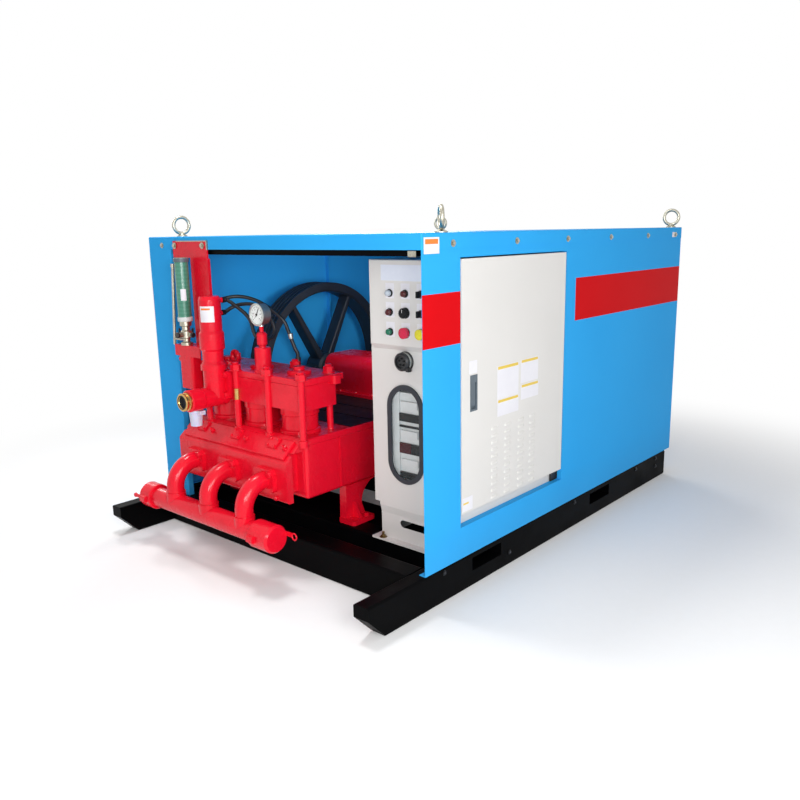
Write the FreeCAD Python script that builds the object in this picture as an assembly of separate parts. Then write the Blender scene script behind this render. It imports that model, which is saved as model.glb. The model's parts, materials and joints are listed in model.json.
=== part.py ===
import FreeCAD, Part
import math
import os

os.makedirs("parts", exist_ok=True)
V = FreeCAD.Vector
X_AXIS, Y_AXIS, Z_AXIS = V(1, 0, 0), V(0, 1, 0), V(0, 0, 1)

# Skid and hood, in millimetres
HOOD_W = 1680.0            # outside width of the hood and of the skid
HOOD_L = 2244.0            # length of the hood
ROOF_Z = 1391.0            # top of the roof sheet
SKID_H = 140.0             # height of the skid's box sections
RUNNER_W = 70.0            # width of a runner
SECTION_WALL = 6.0         # wall of the box sections
SECTION_R = 9.0            # outside corner radius of the box sections
NOSE_OUT = 312.0           # how far the runners stick out ahead of the hood
NOSE_FLAT = 50.0           # upright part of the bevelled nose
NOSE_BEVEL = 90.0          # length of the bevel along the runner
TAIL_IN = 70.0             # how far the runners stop short of the hood's back
BEAM_W = 100.0             # width of a cross beam
POCKET_W = 215.0           # width of a fork pocket
POCKET_H = 65.0
POCKET_WALL = 5.0
SHEET = 3.0                # hood sheet
FOLD = 30.0                # width of the sheets' folded edges
ROOF_DROP = 57.0           # depth of the roof's turned-down rim
ROOF_R = 5.0               # bend radius along the roof's edges
RETURN_W = 177.0           # front return beside the open end
EYE_R = 38.0               # lifting eye, middle of its ring
EYE_WIRE = 8.5             # radius of the ring's section
GAP = 0.3                  # air between curved pieces that only touch
FIT = 0.05                 # radial clearance of a pin or shaft in its bore

# Control cabinet and its door
CAB_W = 393.0
CAB_PAST = 5.0             # how far it reaches past the door's rear edge
CAB_IN = 34.0              # how far the cabinet stays inside the hood's side
CAB_AHEAD = 195.0          # cabinet front behind the hood's front
PLATE = 2.5                # cabinet sheet
PLINTH_H = 160.0
PANEL_H = 327.0            # height of the control panel box
PANEL_OUT = 22.0           # how far it stands ahead of the cabinet
PANEL_SIDE = 15.0          # how far it stops short of the cabinet's inner side
PANEL_SLOPE = 22.0         # height of its slanted underside
PLINTH_IN = 8.0            # how far the plinth stands back under the cabinet
PLINTH_SLOPE = 32.0        # height of the plinth's slanted top
FOOT_RIM = 30.0            # width of the flange along the plinth's foot
WINDOW_W = 184.0
GASKET = 20.0              # width of the window's rubber gasket
DOOR_BACK = 228.0          # the door's front edge behind the hood's front
DOOR_L = 757.0
DOOR_T = 20.0
DOOR_SKIN = 2.0
DOOR_GAP = 6.0             # air round the door
HANDLE_L = 47.0
HANDLE_H = 141.0
PIN_R = 3.5                # hinge pin
EAR_T = 6.0                # hinge ear

# Triplex pump
PITCH = 245.0              # spacing of the three cylinders
PUMP_IN = 665.0            # middle of the pump from the hood's left side
FRAME_L = 1060.0           # power frame along the set
FRAME_H = 262.0
FRAME_LIFT = 166.0         # its underside above the skid
CYL_R = 78.0
CYL_H = 114.0              # open height of the valve cylinders
CYL_IN = 100.0             # their axis behind the hood's front
BLOCK_H = 106.0            # upper valve block
FLANGE_T = 28.0
STUD_R = 14.0
NUT_R = 23.0
NUT_H = 26.0
TEE_R = 44.0
RELIEF_R = 48.0
RELIEF_H = 320.0
UNION_R = 39.0
UNION_L = 28.0
UNION_BORE = 26.0
CUP_R = 30.0
CUP_H = 72.0
GAUGE_R = 48.0
GAUGE_RISE = 248.0         # gauge centre above the flange
MANIFOLD_R = 44.5
COUPLING_R = 58.0
RISER_R = 38.0
BEND_R = 105.0
RISER_STRAIGHT = 74.0      # upright run above the manifold's axis
PAD_T = 20.0               # riser flange
SHAFT_R = 40.0
CRANK_IN = 945.0           # crankshaft behind the hood's front
CRANK_RISE = 87.0          # crankshaft above the power frame
CASE_TOP = 112.0           # top of the crankcase above the crankshaft
CASE_AHEAD = 195.0         # front of the crankcase ahead of the crankshaft

# Belt drive and motor
WHEEL_R = 472.0
WHEEL_W = 120.0
RIM_T = 49.0
HUB_R = 75.0
SPOKES = 6
SPOKE_TURN = 62.5
GROOVES = 4
GROOVE_DEPTH = 20.0
GROOVE_TOP = 20.0          # groove width at the rim
GROOVE_FOOT = 10.0         # groove width at its bottom
BELT_T = 9.0
BELT_SEAT = 8.0            # belt's underside above the groove's bottom
PULLEY_R = 125.0
MOTOR_R = 210.0
MOTOR_L = 560.0
MOTOR_RISE = 330.0         # motor shaft above the skid
MOTOR_BACK = 462.0         # motor shaft ahead of the runners' tail
MOTOR_SHAFT_R = 32.0
RAIL_OUT = 140.0           # motor rails each side of the motor shaft
FIN_H = 20.0
FIN_T = 6.0

# Lubricant tube and its bracket
TUBE_R = 30.0
TUBE_OUT = 55.0            # tube axis ahead of the hood
BRACKET_T = 6.0
HOSE_R = 8.0

# Places worked out from those sizes
HALF_W = HOOD_W / 2
HF = -(NOSE_OUT + HOOD_L) / 2 + NOSE_OUT    # the hood's front plane
HR = HF + HOOD_L                            # the hood's back plane
NOSE_Y = HF - NOSE_OUT
TAIL_Y = HR - TAIL_IN
IN = HALF_W - RUNNER_W
SIDE_X = HALF_W - SHEET
EAVE_Z = ROOF_Z - ROOF_DROP
WALL_TOP = ROOF_Z - SHEET
PUMP_X = PUMP_IN - HALF_W
CYL_X = [PUMP_X - PITCH, PUMP_X, PUMP_X + PITCH]
FRAME_BOT = SKID_H + FRAME_LIFT
FRAME_TOP = FRAME_BOT + FRAME_H
PX0 = PUMP_X - 1.5 * PITCH - 17.5
PX1 = PUMP_X + 1.5 * PITCH + 17.5
CRANK_Y, CRANK_Z = HF + CRANK_IN, FRAME_TOP + CRANK_RISE
MOT_Y, MOT_Z = TAIL_Y - MOTOR_BACK, SKID_H + MOTOR_RISE
WX1 = PX0 - 60
WX0 = WX1 - WHEEL_W


def box(x0, x1, y0, y1, z0, z1):
    return Part.makeBox(x1 - x0, y1 - y0, z1 - z0, V(x0, y0, z0))


def cyl_x(x0, x1, y, z, r):
    return Part.makeCylinder(r, x1 - x0, V(x0, y, z), X_AXIS)


def cyl_y(y0, y1, x, z, r):
    return Part.makeCylinder(r, y1 - y0, V(x, y0, z), Y_AXIS)


def cyl_z(z0, z1, x, y, r):
    return Part.makeCylinder(r, z1 - z0, V(x, y, z0), Z_AXIS)


def fuse(shapes):
    out = shapes[0]
    for s in shapes[1:]:
        out = out.fuse(s)
    return out.removeSplitter()


def cut(a, *tools):
    for t in tools:
        a = a.cut(t)
    return a


def is_along(edge, axis):
    """True for a straight edge that runs along the axis."""
    if edge.Curve.TypeId != "Part::GeomLine":
        return False
    run = edge.Vertexes[-1].Point.sub(edge.Vertexes[0].Point)
    return abs(run.dot(axis)) > 0.999 * run.Length


def rounded(shape, r, *axes):
    """Rounds the straight edges that run along the axes, or every edge if none is given."""
    edges = shape.Edges
    if axes:
        edges = [e for e in edges if any(is_along(e, axis) for axis in axes)]
    return shape.makeFillet(r, edges)


def prism_x(x0, x1, yz):
    pts = [V(x0, y, z) for y, z in yz]
    return Part.Face(Part.makePolygon(pts + [pts[0]])).extrude(V(x1 - x0, 0, 0))


def turned(origin, axis, side, profile):
    """A solid of revolution about the axis, from (radius, height) pairs."""
    pts = [origin + side * r + axis * h for r, h in profile]
    return Part.Face(Part.makePolygon(pts + [pts[0]])).revolve(origin, axis, 360)


def turned_z(x, y, rz):
    return turned(V(x, y, 0), Z_AXIS, X_AXIS, rz)


def turned_x(y, z, rx):
    return turned(V(0, y, z), X_AXIS, Z_AXIS, rx)


def turned_y(x, z, ry):
    return turned(V(x, 0, z), Y_AXIS, X_AXIS, ry)


def tube_path(points, r):
    """A hose along straight runs that tangent arcs join, each as large as its runs allow."""
    edges, here = [], points[0]
    for a, b, c in zip(points, points[1:], points[2:]):
        into, out = b.sub(a), c.sub(b)
        half_turn = into.getAngle(out) / 2
        reach = 0.45 * min(into.Length, out.Length)
        u, w = into.normalize(), out.normalize()
        start, end = b - u * reach, b + w * reach
        radius = reach / math.tan(half_turn)
        inward = (w - u).normalize()
        centre = b + inward * (radius / math.cos(half_turn))
        edges.append(Part.LineSegment(here, start).toShape())
        edges.append(Part.Arc(start, centre - inward * radius, end).toShape())
        here = end
    edges.append(Part.LineSegment(here, points[-1]).toShape())
    first = points[1].sub(points[0])
    section = Part.Wire(Part.makeCircle(r, points[0], first))
    return Part.Wire(edges).makePipeShell([section], True, False)


def save(name, shape):
    if isinstance(shape, list):
        shape = Part.makeCompound(shape)
    shape.exportStep("parts/" + name + ".step")
    print(name, len(shape.Solids), "solids", round(shape.Volume / 1e6, 3), "litres",
          "ok" if shape.isValid() else "INVALID")


# Skid: two box-section runners with bevelled noses, joined by cross beams
POCKET_Z1 = SKID_H - 15
POCKET_Z0 = POCKET_Z1 - POCKET_H
POCKET_YS = (HF + 290, MOT_Y - 442)


def nose_wedge(inset):
    """What the bevel takes off under a runner's nose, or off its hollow with an inset."""
    y, z = NOSE_Y + inset, SKID_H - NOSE_FLAT + inset / 3
    reach = 2 * NOSE_BEVEL
    return prism_x(-HALF_W, HALF_W, [(y, z), (NOSE_Y + NOSE_BEVEL + inset, inset), (y + reach, -SKID_H),
                                     (NOSE_Y - reach, -SKID_H), (NOSE_Y - reach, z)])


def runner(x0, x1):
    w = SECTION_WALL
    bar = rounded(box(x0, x1, NOSE_Y, TAIL_Y, 0, SKID_H), SECTION_R, Y_AXIS).cut(nose_wedge(0))
    hollow = box(x0 + w, x1 - w, NOSE_Y + w, TAIL_Y - w, w, SKID_H - w).cut(nose_wedge(w))
    bar = bar.cut(hollow)
    return cut(bar, *[box(x0 - 1, x1 + 1, y, y + POCKET_W, POCKET_Z0, POCKET_Z1) for y in POCKET_YS])


def cross_beam(y0, y1):
    w = SECTION_WALL
    bar = rounded(box(-IN, IN, y0, y1, 0, SKID_H), SECTION_R, X_AXIS)
    return bar.cut(box(-IN, IN, y0 + w, y1 - w, w, SKID_H - w))


def fork_pocket(y):
    w = POCKET_WALL
    hole = box(-HALF_W, HALF_W, y + w, y + POCKET_W - w, POCKET_Z0 + w, POCKET_Z1 - w)
    return box(-HALF_W, HALF_W, y, y + POCKET_W, POCKET_Z0, POCKET_Z1).cut(hole)


save("left_runner", runner(-HALF_W, -IN))
save("right_runner", runner(IN, HALF_W))
save("front_cross_beam", cross_beam(HF - 31, HF - 31 + BEAM_W))
save("pump_beams", [cross_beam(y, y + BEAM_W) for y in (HF + 186, HF + FRAME_L - 160)])
save("motor_beams", [cross_beam(y - BEAM_W / 2, y + BEAM_W / 2)
                     for y in (MOT_Y - RAIL_OUT, MOT_Y + RAIL_OUT)])
save("rear_cross_beam", cross_beam(TAIL_Y - BEAM_W, TAIL_Y))
save("fork_pockets", [fork_pocket(y) for y in POCKET_YS])

# Hood sheets. Side sheets stand just inside the roof's rim.
DOOR_Y0 = HF + DOOR_BACK
DOOR_Y1 = DOOR_Y0 + DOOR_L
DOOR_Z0 = SKID_H + PLINTH_H + 20
DOOR_Z1 = EAVE_Z - 38
OPEN_Y0 = DOOR_Y0 - DOOR_GAP
OPEN_Y1 = DOOR_Y1 + 9.5
OPEN_Z0 = DOOR_Z0 - 52
OPEN_Z1 = DOOR_Z1 + DOOR_GAP
SPLIT_Y = OPEN_Y1 + 83.5   # joint between the front and rear sheets on the right
LEFT_SPLIT_Y = SPLIT_Y + 70


def side_tray(side, y0, y1, z0, z1, edges="fbtl"):
    """A flat side sheet with its front, back, top or lower edges folded inwards."""
    def slab(depth0, depth1, *rest):
        xa, xb = sorted((side * (SIDE_X - depth0), side * (SIDE_X - depth1)))
        return box(xa, xb, *rest)
    folds = {"f": (y0, y0 + SHEET, z0, z1), "b": (y1 - SHEET, y1, z0, z1),
             "t": (y0, y1, z1 - SHEET, z1), "l": (y0, y1, z0, z0 + SHEET)}
    return fuse([slab(0, SHEET, y0, y1, z0, z1)] + [slab(SHEET, FOLD, *folds[e]) for e in edges])


def rear_sheet():
    """The back sheet, with two upright channels pressed on its inside."""
    ribs = []
    for x in (-HOOD_W / 6, HOOD_W / 6):
        rib = box(x - 20, x + 20, HR - SHEET - 22, HR - SHEET, SKID_H + 40, EAVE_Z - 40)
        ribs.append(rib.cut(box(x - 20 + SHEET, x + 20 - SHEET, HR - 22, HR - SHEET, SKID_H, EAVE_Z)))
    return fuse([box(-SIDE_X, SIDE_X, HR - SHEET, HR, SKID_H, EAVE_Z)] + ribs)


def roof():
    """The roof sheet with its turned-down rim, and two stiffening channels under it."""
    outer = rounded(box(-HALF_W, HALF_W, HF, HR, EAVE_Z, ROOF_Z), ROOF_R, Z_AXIS)
    top = [e for e in outer.Edges if min(v.Z for v in e.Vertexes) > ROOF_Z - 0.01]
    outer = outer.makeFillet(ROOF_R - 0.5, top)
    sheet = outer.cut(box(-SIDE_X, SIDE_X, HF + SHEET, HR - SHEET, EAVE_Z - 1, WALL_TOP))
    channels = []
    for y in (HF + HOOD_L * 0.42, HF + HOOD_L * 0.72):
        reach = SIDE_X - FOLD - 1
        bar = box(-reach, reach, y, y + 50, WALL_TOP - 25, WALL_TOP)
        hollow = box(-reach, reach, y + SHEET, y + 50 - SHEET, WALL_TOP - 25 + SHEET, WALL_TOP)
        channels.append(bar.cut(hollow))
    return fuse([sheet] + channels)


def front_rail():
    """The dark channel behind the roof's front rim."""
    x0, x1 = -HALF_W + RETURN_W + 2, SIDE_X - FOLD - 2
    y0, y1, z0 = HF + 12, HF + 52, EAVE_Z - 22
    return box(x0, x1, y0, y1, z0, WALL_TOP).cut(
        box(x0 - 1, x1 + 1, y0 + SHEET, y1 - SHEET, z0 + SHEET, WALL_TOP - SHEET))


def left_return():
    sheet = rounded(box(-HALF_W, -HALF_W + RETURN_W, HF, HF + FOLD, SKID_H, EAVE_Z), ROOF_R - 1, Z_AXIS)
    return sheet.cut(box(-HALF_W - 1, -HALF_W + RETURN_W - SHEET, HF + SHEET, HF + FOLD + 1,
                         SKID_H - 1, EAVE_Z + 1))


save("left_front_panel", side_tray(-1, HF + SHEET, LEFT_SPLIT_Y, SKID_H, WALL_TOP))
save("left_rear_panel", side_tray(-1, LEFT_SPLIT_Y, HR - SHEET, SKID_H, WALL_TOP))
save("right_front_post", side_tray(1, HF + SHEET, OPEN_Y0, SKID_H, WALL_TOP, "btl"))
save("door_lintel", side_tray(1, OPEN_Y0, OPEN_Y1, OPEN_Z1, WALL_TOP, "tl"))
save("door_sill", side_tray(1, OPEN_Y0, OPEN_Y1, SKID_H, OPEN_Z0, "tl"))
save("door_jamb", side_tray(1, OPEN_Y1, SPLIT_Y, SKID_H, WALL_TOP))
save("right_rear_panel", side_tray(1, SPLIT_Y, HR - SHEET, SKID_H, WALL_TOP))
save("rear_panel", rear_sheet())
save("left_front_return", left_return())
save("roof_panel", roof())
save("front_roof_rail", front_rail())

# Lifting eyes on the roof's corners
EYE_Z = ROOF_Z + EYE_R + 15
EYE_X = HALF_W - 42
EYES = [(-EYE_X, HF + 160, 75), (EYE_X, HF + 160, -45), (-EYE_X, HR - 50, 20), (EYE_X, HR - 50, 10)]


def lifting_eye(x, y, turn):
    """A forged eye bolt: a ring on a coned neck and a round collar."""
    ring = Part.makeTorus(EYE_R, EYE_WIRE, V(0, 0, EYE_Z), Y_AXIS)
    neck = turned_z(0, 0, [(0, ROOF_Z), (25, ROOF_Z), (25, ROOF_Z + 4), (22, ROOF_Z + 6),
                           (14, ROOF_Z + 9), (9.5, ROOF_Z + 16), (0, ROOF_Z + 16)])
    eye = fuse([neck, ring])
    eye.rotate(V(0, 0, 0), Z_AXIS, turn)
    eye.translate(V(x, y, 0))
    return eye


save("lifting_eyes", [lifting_eye(x, y, turn) for x, y, turn in EYES])

# Control cabinet behind the right-hand front corner
CX1 = HALF_W - CAB_IN
CX0 = CX1 - CAB_W
CY0 = HF + CAB_AHEAD
CY1 = DOOR_Y1 + CAB_PAST
CZ0 = SKID_H + PLINTH_H
CZ1 = EAVE_Z - 41
PANEL_Z0 = CZ1 - PANEL_H
WINDOW_X0 = CX0 + 83
WINDOW_Z0 = CZ0 + 103
WINDOW_Z1 = PANEL_Z0 - PANEL_SLOPE - 135
PANEL_X0 = CX0 + PANEL_SIDE


def racetrack(y0, y1, inset):
    """An upright slot with round ends, on the cabinet's front."""
    r = WINDOW_W / 2 - inset
    x = WINDOW_X0 + WINDOW_W / 2
    low, high = WINDOW_Z0 + WINDOW_W / 2, WINDOW_Z1 - WINDOW_W / 2
    return fuse([box(x - r, x + r, y0, y1, low, high), cyl_y(y0, y1, x, low, r), cyl_y(y0, y1, x, high, r)])


def cabinet_shell():
    """Bottom, inner side, back and top. The front is a cover of its own."""
    outer = rounded(box(CX0, CX1, CY0 + PLATE, CY1, CZ0, CZ1), PLATE + 1, Y_AXIS)
    return outer.cut(box(CX0 + PLATE, CX1 + 1, CY0, CY1 - PLATE, CZ0 + PLATE, CZ1 - PLATE))


def plinth():
    """The cabinet's base: it slants back under the cabinet, and has a cable slot and a flanged foot."""
    x0, y0, y1 = CX0 + 27, CY0 + PLINTH_IN, CY1 - PLINTH_IN
    outer = prism_x(x0, CX1, [(CY0, CZ0), (CY0, CZ0 - 14), (y0, CZ0 - 14 - PLINTH_SLOPE), (y0, SKID_H),
                              (y1, SKID_H), (y1, CZ0)])
    outer = outer.cut(box(x0 + PLATE, CX1 - PLATE, y0 + PLATE, y1 - PLATE, SKID_H - 1, CZ0 - PLATE))
    slot_x, slot_z = CX0 + 129, SKID_H + 67
    slot = rounded(box(slot_x, slot_x + 158, y0 - 8, y0 + 12, slot_z, slot_z + 32), 15.9, Y_AXIS)
    rim = box(x0 - FOOT_RIM, CX1, y0 - FOOT_RIM, y1, SKID_H, SKID_H + 8)
    rim = rim.cut(box(x0 + PLATE, CX1 + 1, y0 + PLATE, y1 + 1, SKID_H - 1, SKID_H + 9))
    return fuse([outer.cut(slot), rim])


def panel_box():
    """The control panel's box, whose underside slants back to the cabinet's front."""
    side = prism_x(PANEL_X0, CX1, [(CY0 - PANEL_OUT, PANEL_Z0), (CY0, PANEL_Z0 - PANEL_SLOPE),
                                   (CY0, CZ1), (CY0 - PANEL_OUT, CZ1)])
    return side.makeFillet(4, [e for e in side.Edges if max(v.Y for v in e.Vertexes) < CY0 - 1])


def front_cover():
    sheet = box(CX0, CX1, CY0, CY0 + PLATE, CZ0, CZ1)
    return sheet.cut(racetrack(CY0 - 1, CY0 + PLATE + 1, GASKET / 2))


def switchgear():
    """Three breakers on a back plate, seen through the window."""
    x0, x1 = WINDOW_X0 + 22, WINDOW_X0 + WINDOW_W - 14
    z0, z1 = WINDOW_Z0 + 25, WINDOW_Z1 - 25
    step = (z1 - z0) / 3
    y = CY0 + 62
    parts = [box(x0 - 12, x1 + 12, y, y + PLATE, z0 - 20, z1 + 20)]
    for i in range(3):
        z = z0 + i * step
        parts.append(box(x0, x1, y - 40, y, z + 12, z + step - 12))
        parts.append(box(x0 + 30, x1 - 30, y - 50, y - 40, z + step / 2 - 14, z + step / 2 + 14))
    stand_off = box(x0 - 12, x1 + 12, y + PLATE, y + 2 * PLATE, z0 - 20, z1 + 20)
    foot = box(x0 - 12, x1 + 12, y, y + PLATE, CZ0 + PLATE, z0 - 20)
    return fuse(parts + [stand_off, foot])


save("control_cabinet", cabinet_shell())
save("cabinet_plinth", plinth())
save("control_panel", panel_box())
save("cabinet_front_cover", front_cover())
save("window_gasket", racetrack(CY0 - 7, CY0, 0).cut(racetrack(CY0 - 8, CY0 + 1, GASKET)))
save("window_pane", racetrack(CY0 - 5, CY0 - 1, GASKET))
save("switchgear", switchgear())

# Knobs, lamps and keys on the control panel, in three rows
BUTTON_R = 15.0
BUTTON_XS = [CX0 + 124, CX0 + 202, CX0 + 280]
BUTTON_ZS = [CZ1 - 126, CZ1 - 199, CZ1 - 275]
FACE_Y = CY0 - PANEL_OUT
LARGE_KEYS = {(1, 1): 21.0, (1, 2): 21.0, (2, 2): 21.0}


def button(column, row):
    """A bezel ring with its domed cap."""
    r = LARGE_KEYS.get((column, row), BUTTON_R)
    x, z = BUTTON_XS[column], BUTTON_ZS[row]
    y = FACE_Y
    return turned_y(x, z, [(0, y), (r, y), (r, y - 5), (r - 2, y - 7), (r - 4, y - 7), (r - 4, y - 15),
                           (r - 7, y - 18), (0, y - 19)])


save("panel_buttons", [button(c, r) for r in range(3) for c in range(3)])
SOCKET_R = 33.0
SOCKET_X, SOCKET_Z = CX0 + 181, PANEL_Z0 - PANEL_SLOPE - SOCKET_R - 7
socket_y = CY0 - 4
save("power_socket", turned_y(SOCKET_X, SOCKET_Z, [
    (0, CY0), (SOCKET_R + 6, CY0), (SOCKET_R + 6, socket_y), (SOCKET_R, socket_y - 3),
    (SOCKET_R, socket_y - 12), (SOCKET_R + 3, socket_y - 14), (SOCKET_R + 3, socket_y - 24),
    (SOCKET_R - 3, socket_y - 30), (SOCKET_R - 8, socket_y - 30), (SOCKET_R - 8, socket_y - 22),
    (0, socket_y - 22)]))

# Cabinet door, hinged on its rear edge
DOOR_X = HALF_W - 2
HINGE_X, HINGE_Y = DOOR_X - 9, DOOR_Y1 - 8
HINGE_ZS = (DOOR_Z0 + 120, DOOR_Z1 - 116)
HANDLE = (DOOR_Y0 + 53, DOOR_Y0 + 53 + HANDLE_L, DOOR_Z0 + 399, DOOR_Z0 + 399 + HANDLE_H)


def door_and_hinges():
    """The door's tray with its hinge ears, and the fixed arms with their pins."""
    inside = DOOR_X - DOOR_T
    skin = DOOR_X - DOOR_SKIN
    t = DOOR_SKIN
    tray = rounded(box(inside, DOOR_X, DOOR_Y0, DOOR_Y1, DOOR_Z0, DOOR_Z1), 2, X_AXIS)
    tray = tray.cut(box(inside - 1, skin, DOOR_Y0 + t, DOOR_Y1 - t, DOOR_Z0 + t, DOOR_Z1 - t))
    tray = tray.cut(box(skin - 1, DOOR_X + 1, *HANDLE))
    ears, pins = [], []
    for z in HINGE_ZS:
        # a slot in the door's folded edge lets the fixed arm through as the door swings
        tray = tray.cut(box(inside - 1, skin, DOOR_Y1 - t - 1, DOOR_Y1 + 1, z - 14, z + 14))
        for z0 in (z - 12 - EAR_T, z + 12):
            ear = box(HINGE_X - 6, skin, HINGE_Y - 6, DOOR_Y1, z0, z0 + EAR_T)
            ears.append(ear.cut(cyl_z(z0 - 1, z0 + EAR_T + 1, HINGE_X, HINGE_Y, PIN_R + FIT)))
        arm = box(CX1 - 12, HINGE_X, HINGE_Y - 5.5, HINGE_Y + 2, z - 11, z + 11)
        foot = box(CX1 - 12, CX1, HINGE_Y - 5.5, CY1 - PLATE, z - 11, z + 11)
        pins.append(fuse([arm, foot, cyl_z(z - 11, z + 11, HINGE_X, HINGE_Y, 5.5),
                          cyl_z(z - 14 - EAR_T, z + 14 + EAR_T, HINGE_X, HINGE_Y, PIN_R)]))
    return fuse([tray] + ears), pins


def flush_handle():
    """A moulded cup with a lift-up lever in it."""
    y0, y1, z0, z1 = HANDLE
    cup = box(DOOR_X - 14, DOOR_X + 1, y0, y1, z0, z1)
    cup = cup.cut(box(DOOR_X - 10, DOOR_X + 2, y0 + 7, y1 - 7, z0 + 8, z1 - 30))
    lever = box(DOOR_X - 10, DOOR_X - 2, y0 + 11, y1 - 11, z0 + 20, z1 - 30)
    return fuse([cup, lever])


door, pins = door_and_hinges()
save("cabinet_door", door)
save("door_hinges", pins)
save("door_handle", flush_handle())

# Pump power frame on four splayed legs
LEG_W = 40.0
LEG_Y = (HF + 225, HF + FRAME_L - 155)
LEG_D = 95.0
FOOT_T = 18.0
FOOT_OUT = 60.0
ARCH_R = 100.0


def leg(x, outward, y, toward):
    """A leg plate with an arched web on its inner side, and a foot that points outwards."""
    x0, x1 = sorted((x, x - outward * LEG_W))
    front, back = (y, y + LEG_D) if toward > 0 else (y + LEG_D, y)
    z0, z1 = SKID_H + FOOT_T, FRAME_BOT + 1
    hub = V(x0, back + toward * ARCH_R, z1 - ARCH_R)
    mid = hub + V(0, -toward * ARCH_R * math.sin(math.pi / 4), ARCH_R * math.cos(math.pi / 4))
    pts = [V(x0, front, z1), V(x0, front - toward * 4, z0), V(x0, back + toward * 20, z0),
           V(x0, back, z1 - ARCH_R)]
    end = V(x0, back + toward * ARCH_R, z1)
    edges = [Part.LineSegment(a, b).toShape() for a, b in zip(pts, pts[1:])]
    edges.append(Part.Arc(pts[-1], mid, end).toShape())
    edges.append(Part.LineSegment(end, pts[0]).toShape())
    web = Part.Face(Part.Wire(edges)).extrude(V(LEG_W, 0, 0))
    fx0, fx1 = sorted((x - outward * LEG_W, x + outward * FOOT_OUT))
    foot = rounded(box(fx0, fx1, y - 18, y + LEG_D + 26, SKID_H, z0), 15, Z_AXIS)
    gx0, gx1 = sorted((x, x + outward * (FOOT_OUT - 22)))
    gusset = [(gx0, z0), (gx1, z0), (x, z0 + 70)]
    pts = [V(gx, y + LEG_D / 2 - 7, gz) for gx, gz in gusset]
    rib = Part.Face(Part.makePolygon(pts + [pts[0]])).extrude(V(0, 14, 0))
    return fuse([web, foot, rib])


def power_frame():
    """The cast crankcase frame, hollow under its cover, with a flanged top edge."""
    body = rounded(box(PX0, PX1, HF, HF + FRAME_L, FRAME_BOT, FRAME_TOP - 14), 16, X_AXIS, Y_AXIS, Z_AXIS)
    rim = rounded(box(PX0 - 6, PX1 + 6, HF + 2, HF + FRAME_L + 6, FRAME_TOP - 30, FRAME_TOP), 6)
    parts = [body, rim]
    for x, outward in ((PX0, -1), (PX1, 1)):
        parts.append(leg(x, outward, LEG_Y[0], 1))
        parts.append(leg(x, outward, LEG_Y[1], -1))
    return fuse(parts)


save("power_frame", power_frame())

COVER_X0, COVER_X1 = PX0 + 105, PX1 - 80
COVER_Y0, COVER_Y1 = CRANK_Y - CASE_AHEAD, HF + FRAME_L - 5
COVER_TOP = CRANK_Z + CASE_TOP
HOUSING_L = 60.0
HOUSING_R = 90.0


def crankcase_cover():
    """A cover with rounded shoulders, higher over the shaft's axis, on a flange."""
    body = box(COVER_X0, COVER_X1, COVER_Y0, COVER_Y1, FRAME_TOP, COVER_TOP)
    top = [e for e in body.Edges if is_along(e, X_AXIS) and min(v.Z for v in e.Vertexes) > FRAME_TOP + 1]
    front = [e for e in top if e.Vertexes[0].Y < CRANK_Y]
    body = body.makeFillet(65, front)
    rear = [e for e in body.Edges if is_along(e, X_AXIS) and e.Vertexes[0].Y > CRANK_Y
            and e.Vertexes[0].Z > COVER_TOP - 1]
    body = body.makeFillet(100, rear)
    flange = box(COVER_X0 - 20, COVER_X1 + 20, COVER_Y0 - 20, COVER_Y1, FRAME_TOP, FRAME_TOP + 16)
    bore = cyl_x(COVER_X0 - 30, COVER_X0 + 90, CRANK_Y, CRANK_Z, SHAFT_R + FIT)
    return fuse([body, flange]).cut(bore)


def bearing_housing():
    x, r = COVER_X0 - HOUSING_L, HOUSING_R
    body = turned_x(CRANK_Y, CRANK_Z, [(SHAFT_R + FIT, x), (r - 20, x), (r - 14, x + 6), (r - 14, x + 40),
                                       (r, x + 40), (r, COVER_X0), (SHAFT_R + FIT, COVER_X0)])
    return cut(body, box(x - 1, COVER_X0 + 1, CRANK_Y - r - 1, CRANK_Y + r + 1, 0, FRAME_TOP + 16))


save("crankcase_cover", crankcase_cover())
save("shaft_bearing_housing", bearing_housing())

# Fluid end: a sloped lower casting, three valve cylinders, and the upper valve block
FLUID_Y = HF - 100         # front face of the lower casting
FLUID_Z1 = FRAME_TOP - 88  # top of that face
FLUID_Z0 = FRAME_BOT + 5
BLOCK_Z0 = FRAME_TOP + CYL_H
BLOCK_Z1 = BLOCK_Z0 + BLOCK_H
FLANGE_Z = BLOCK_Z1 + FLANGE_T
CYL_Y = HF + CYL_IN
BLOCK_Y0, BLOCK_Y1 = HF - 10, CYL_Y + 105
MANIFOLD_Y = FLUID_Y - PAD_T - BEND_R
RISER_Z = FRAME_BOT + 91   # where the risers enter
MANIFOLD_Z = RISER_Z - BEND_R - RISER_STRAIGHT
SLOPE = math.atan2(FRAME_TOP - FLUID_Z1, HF - FLUID_Y)
STUD_STEP = PITCH - 33
STUD_ROWS = ((PUMP_X + 1.58 * PITCH, HF - 12), (PUMP_X + 1.35 * PITCH, CYL_Y + 96))
STUDS = [(x - i * STUD_STEP, y) for x, y in STUD_ROWS for i in range(4)]


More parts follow.
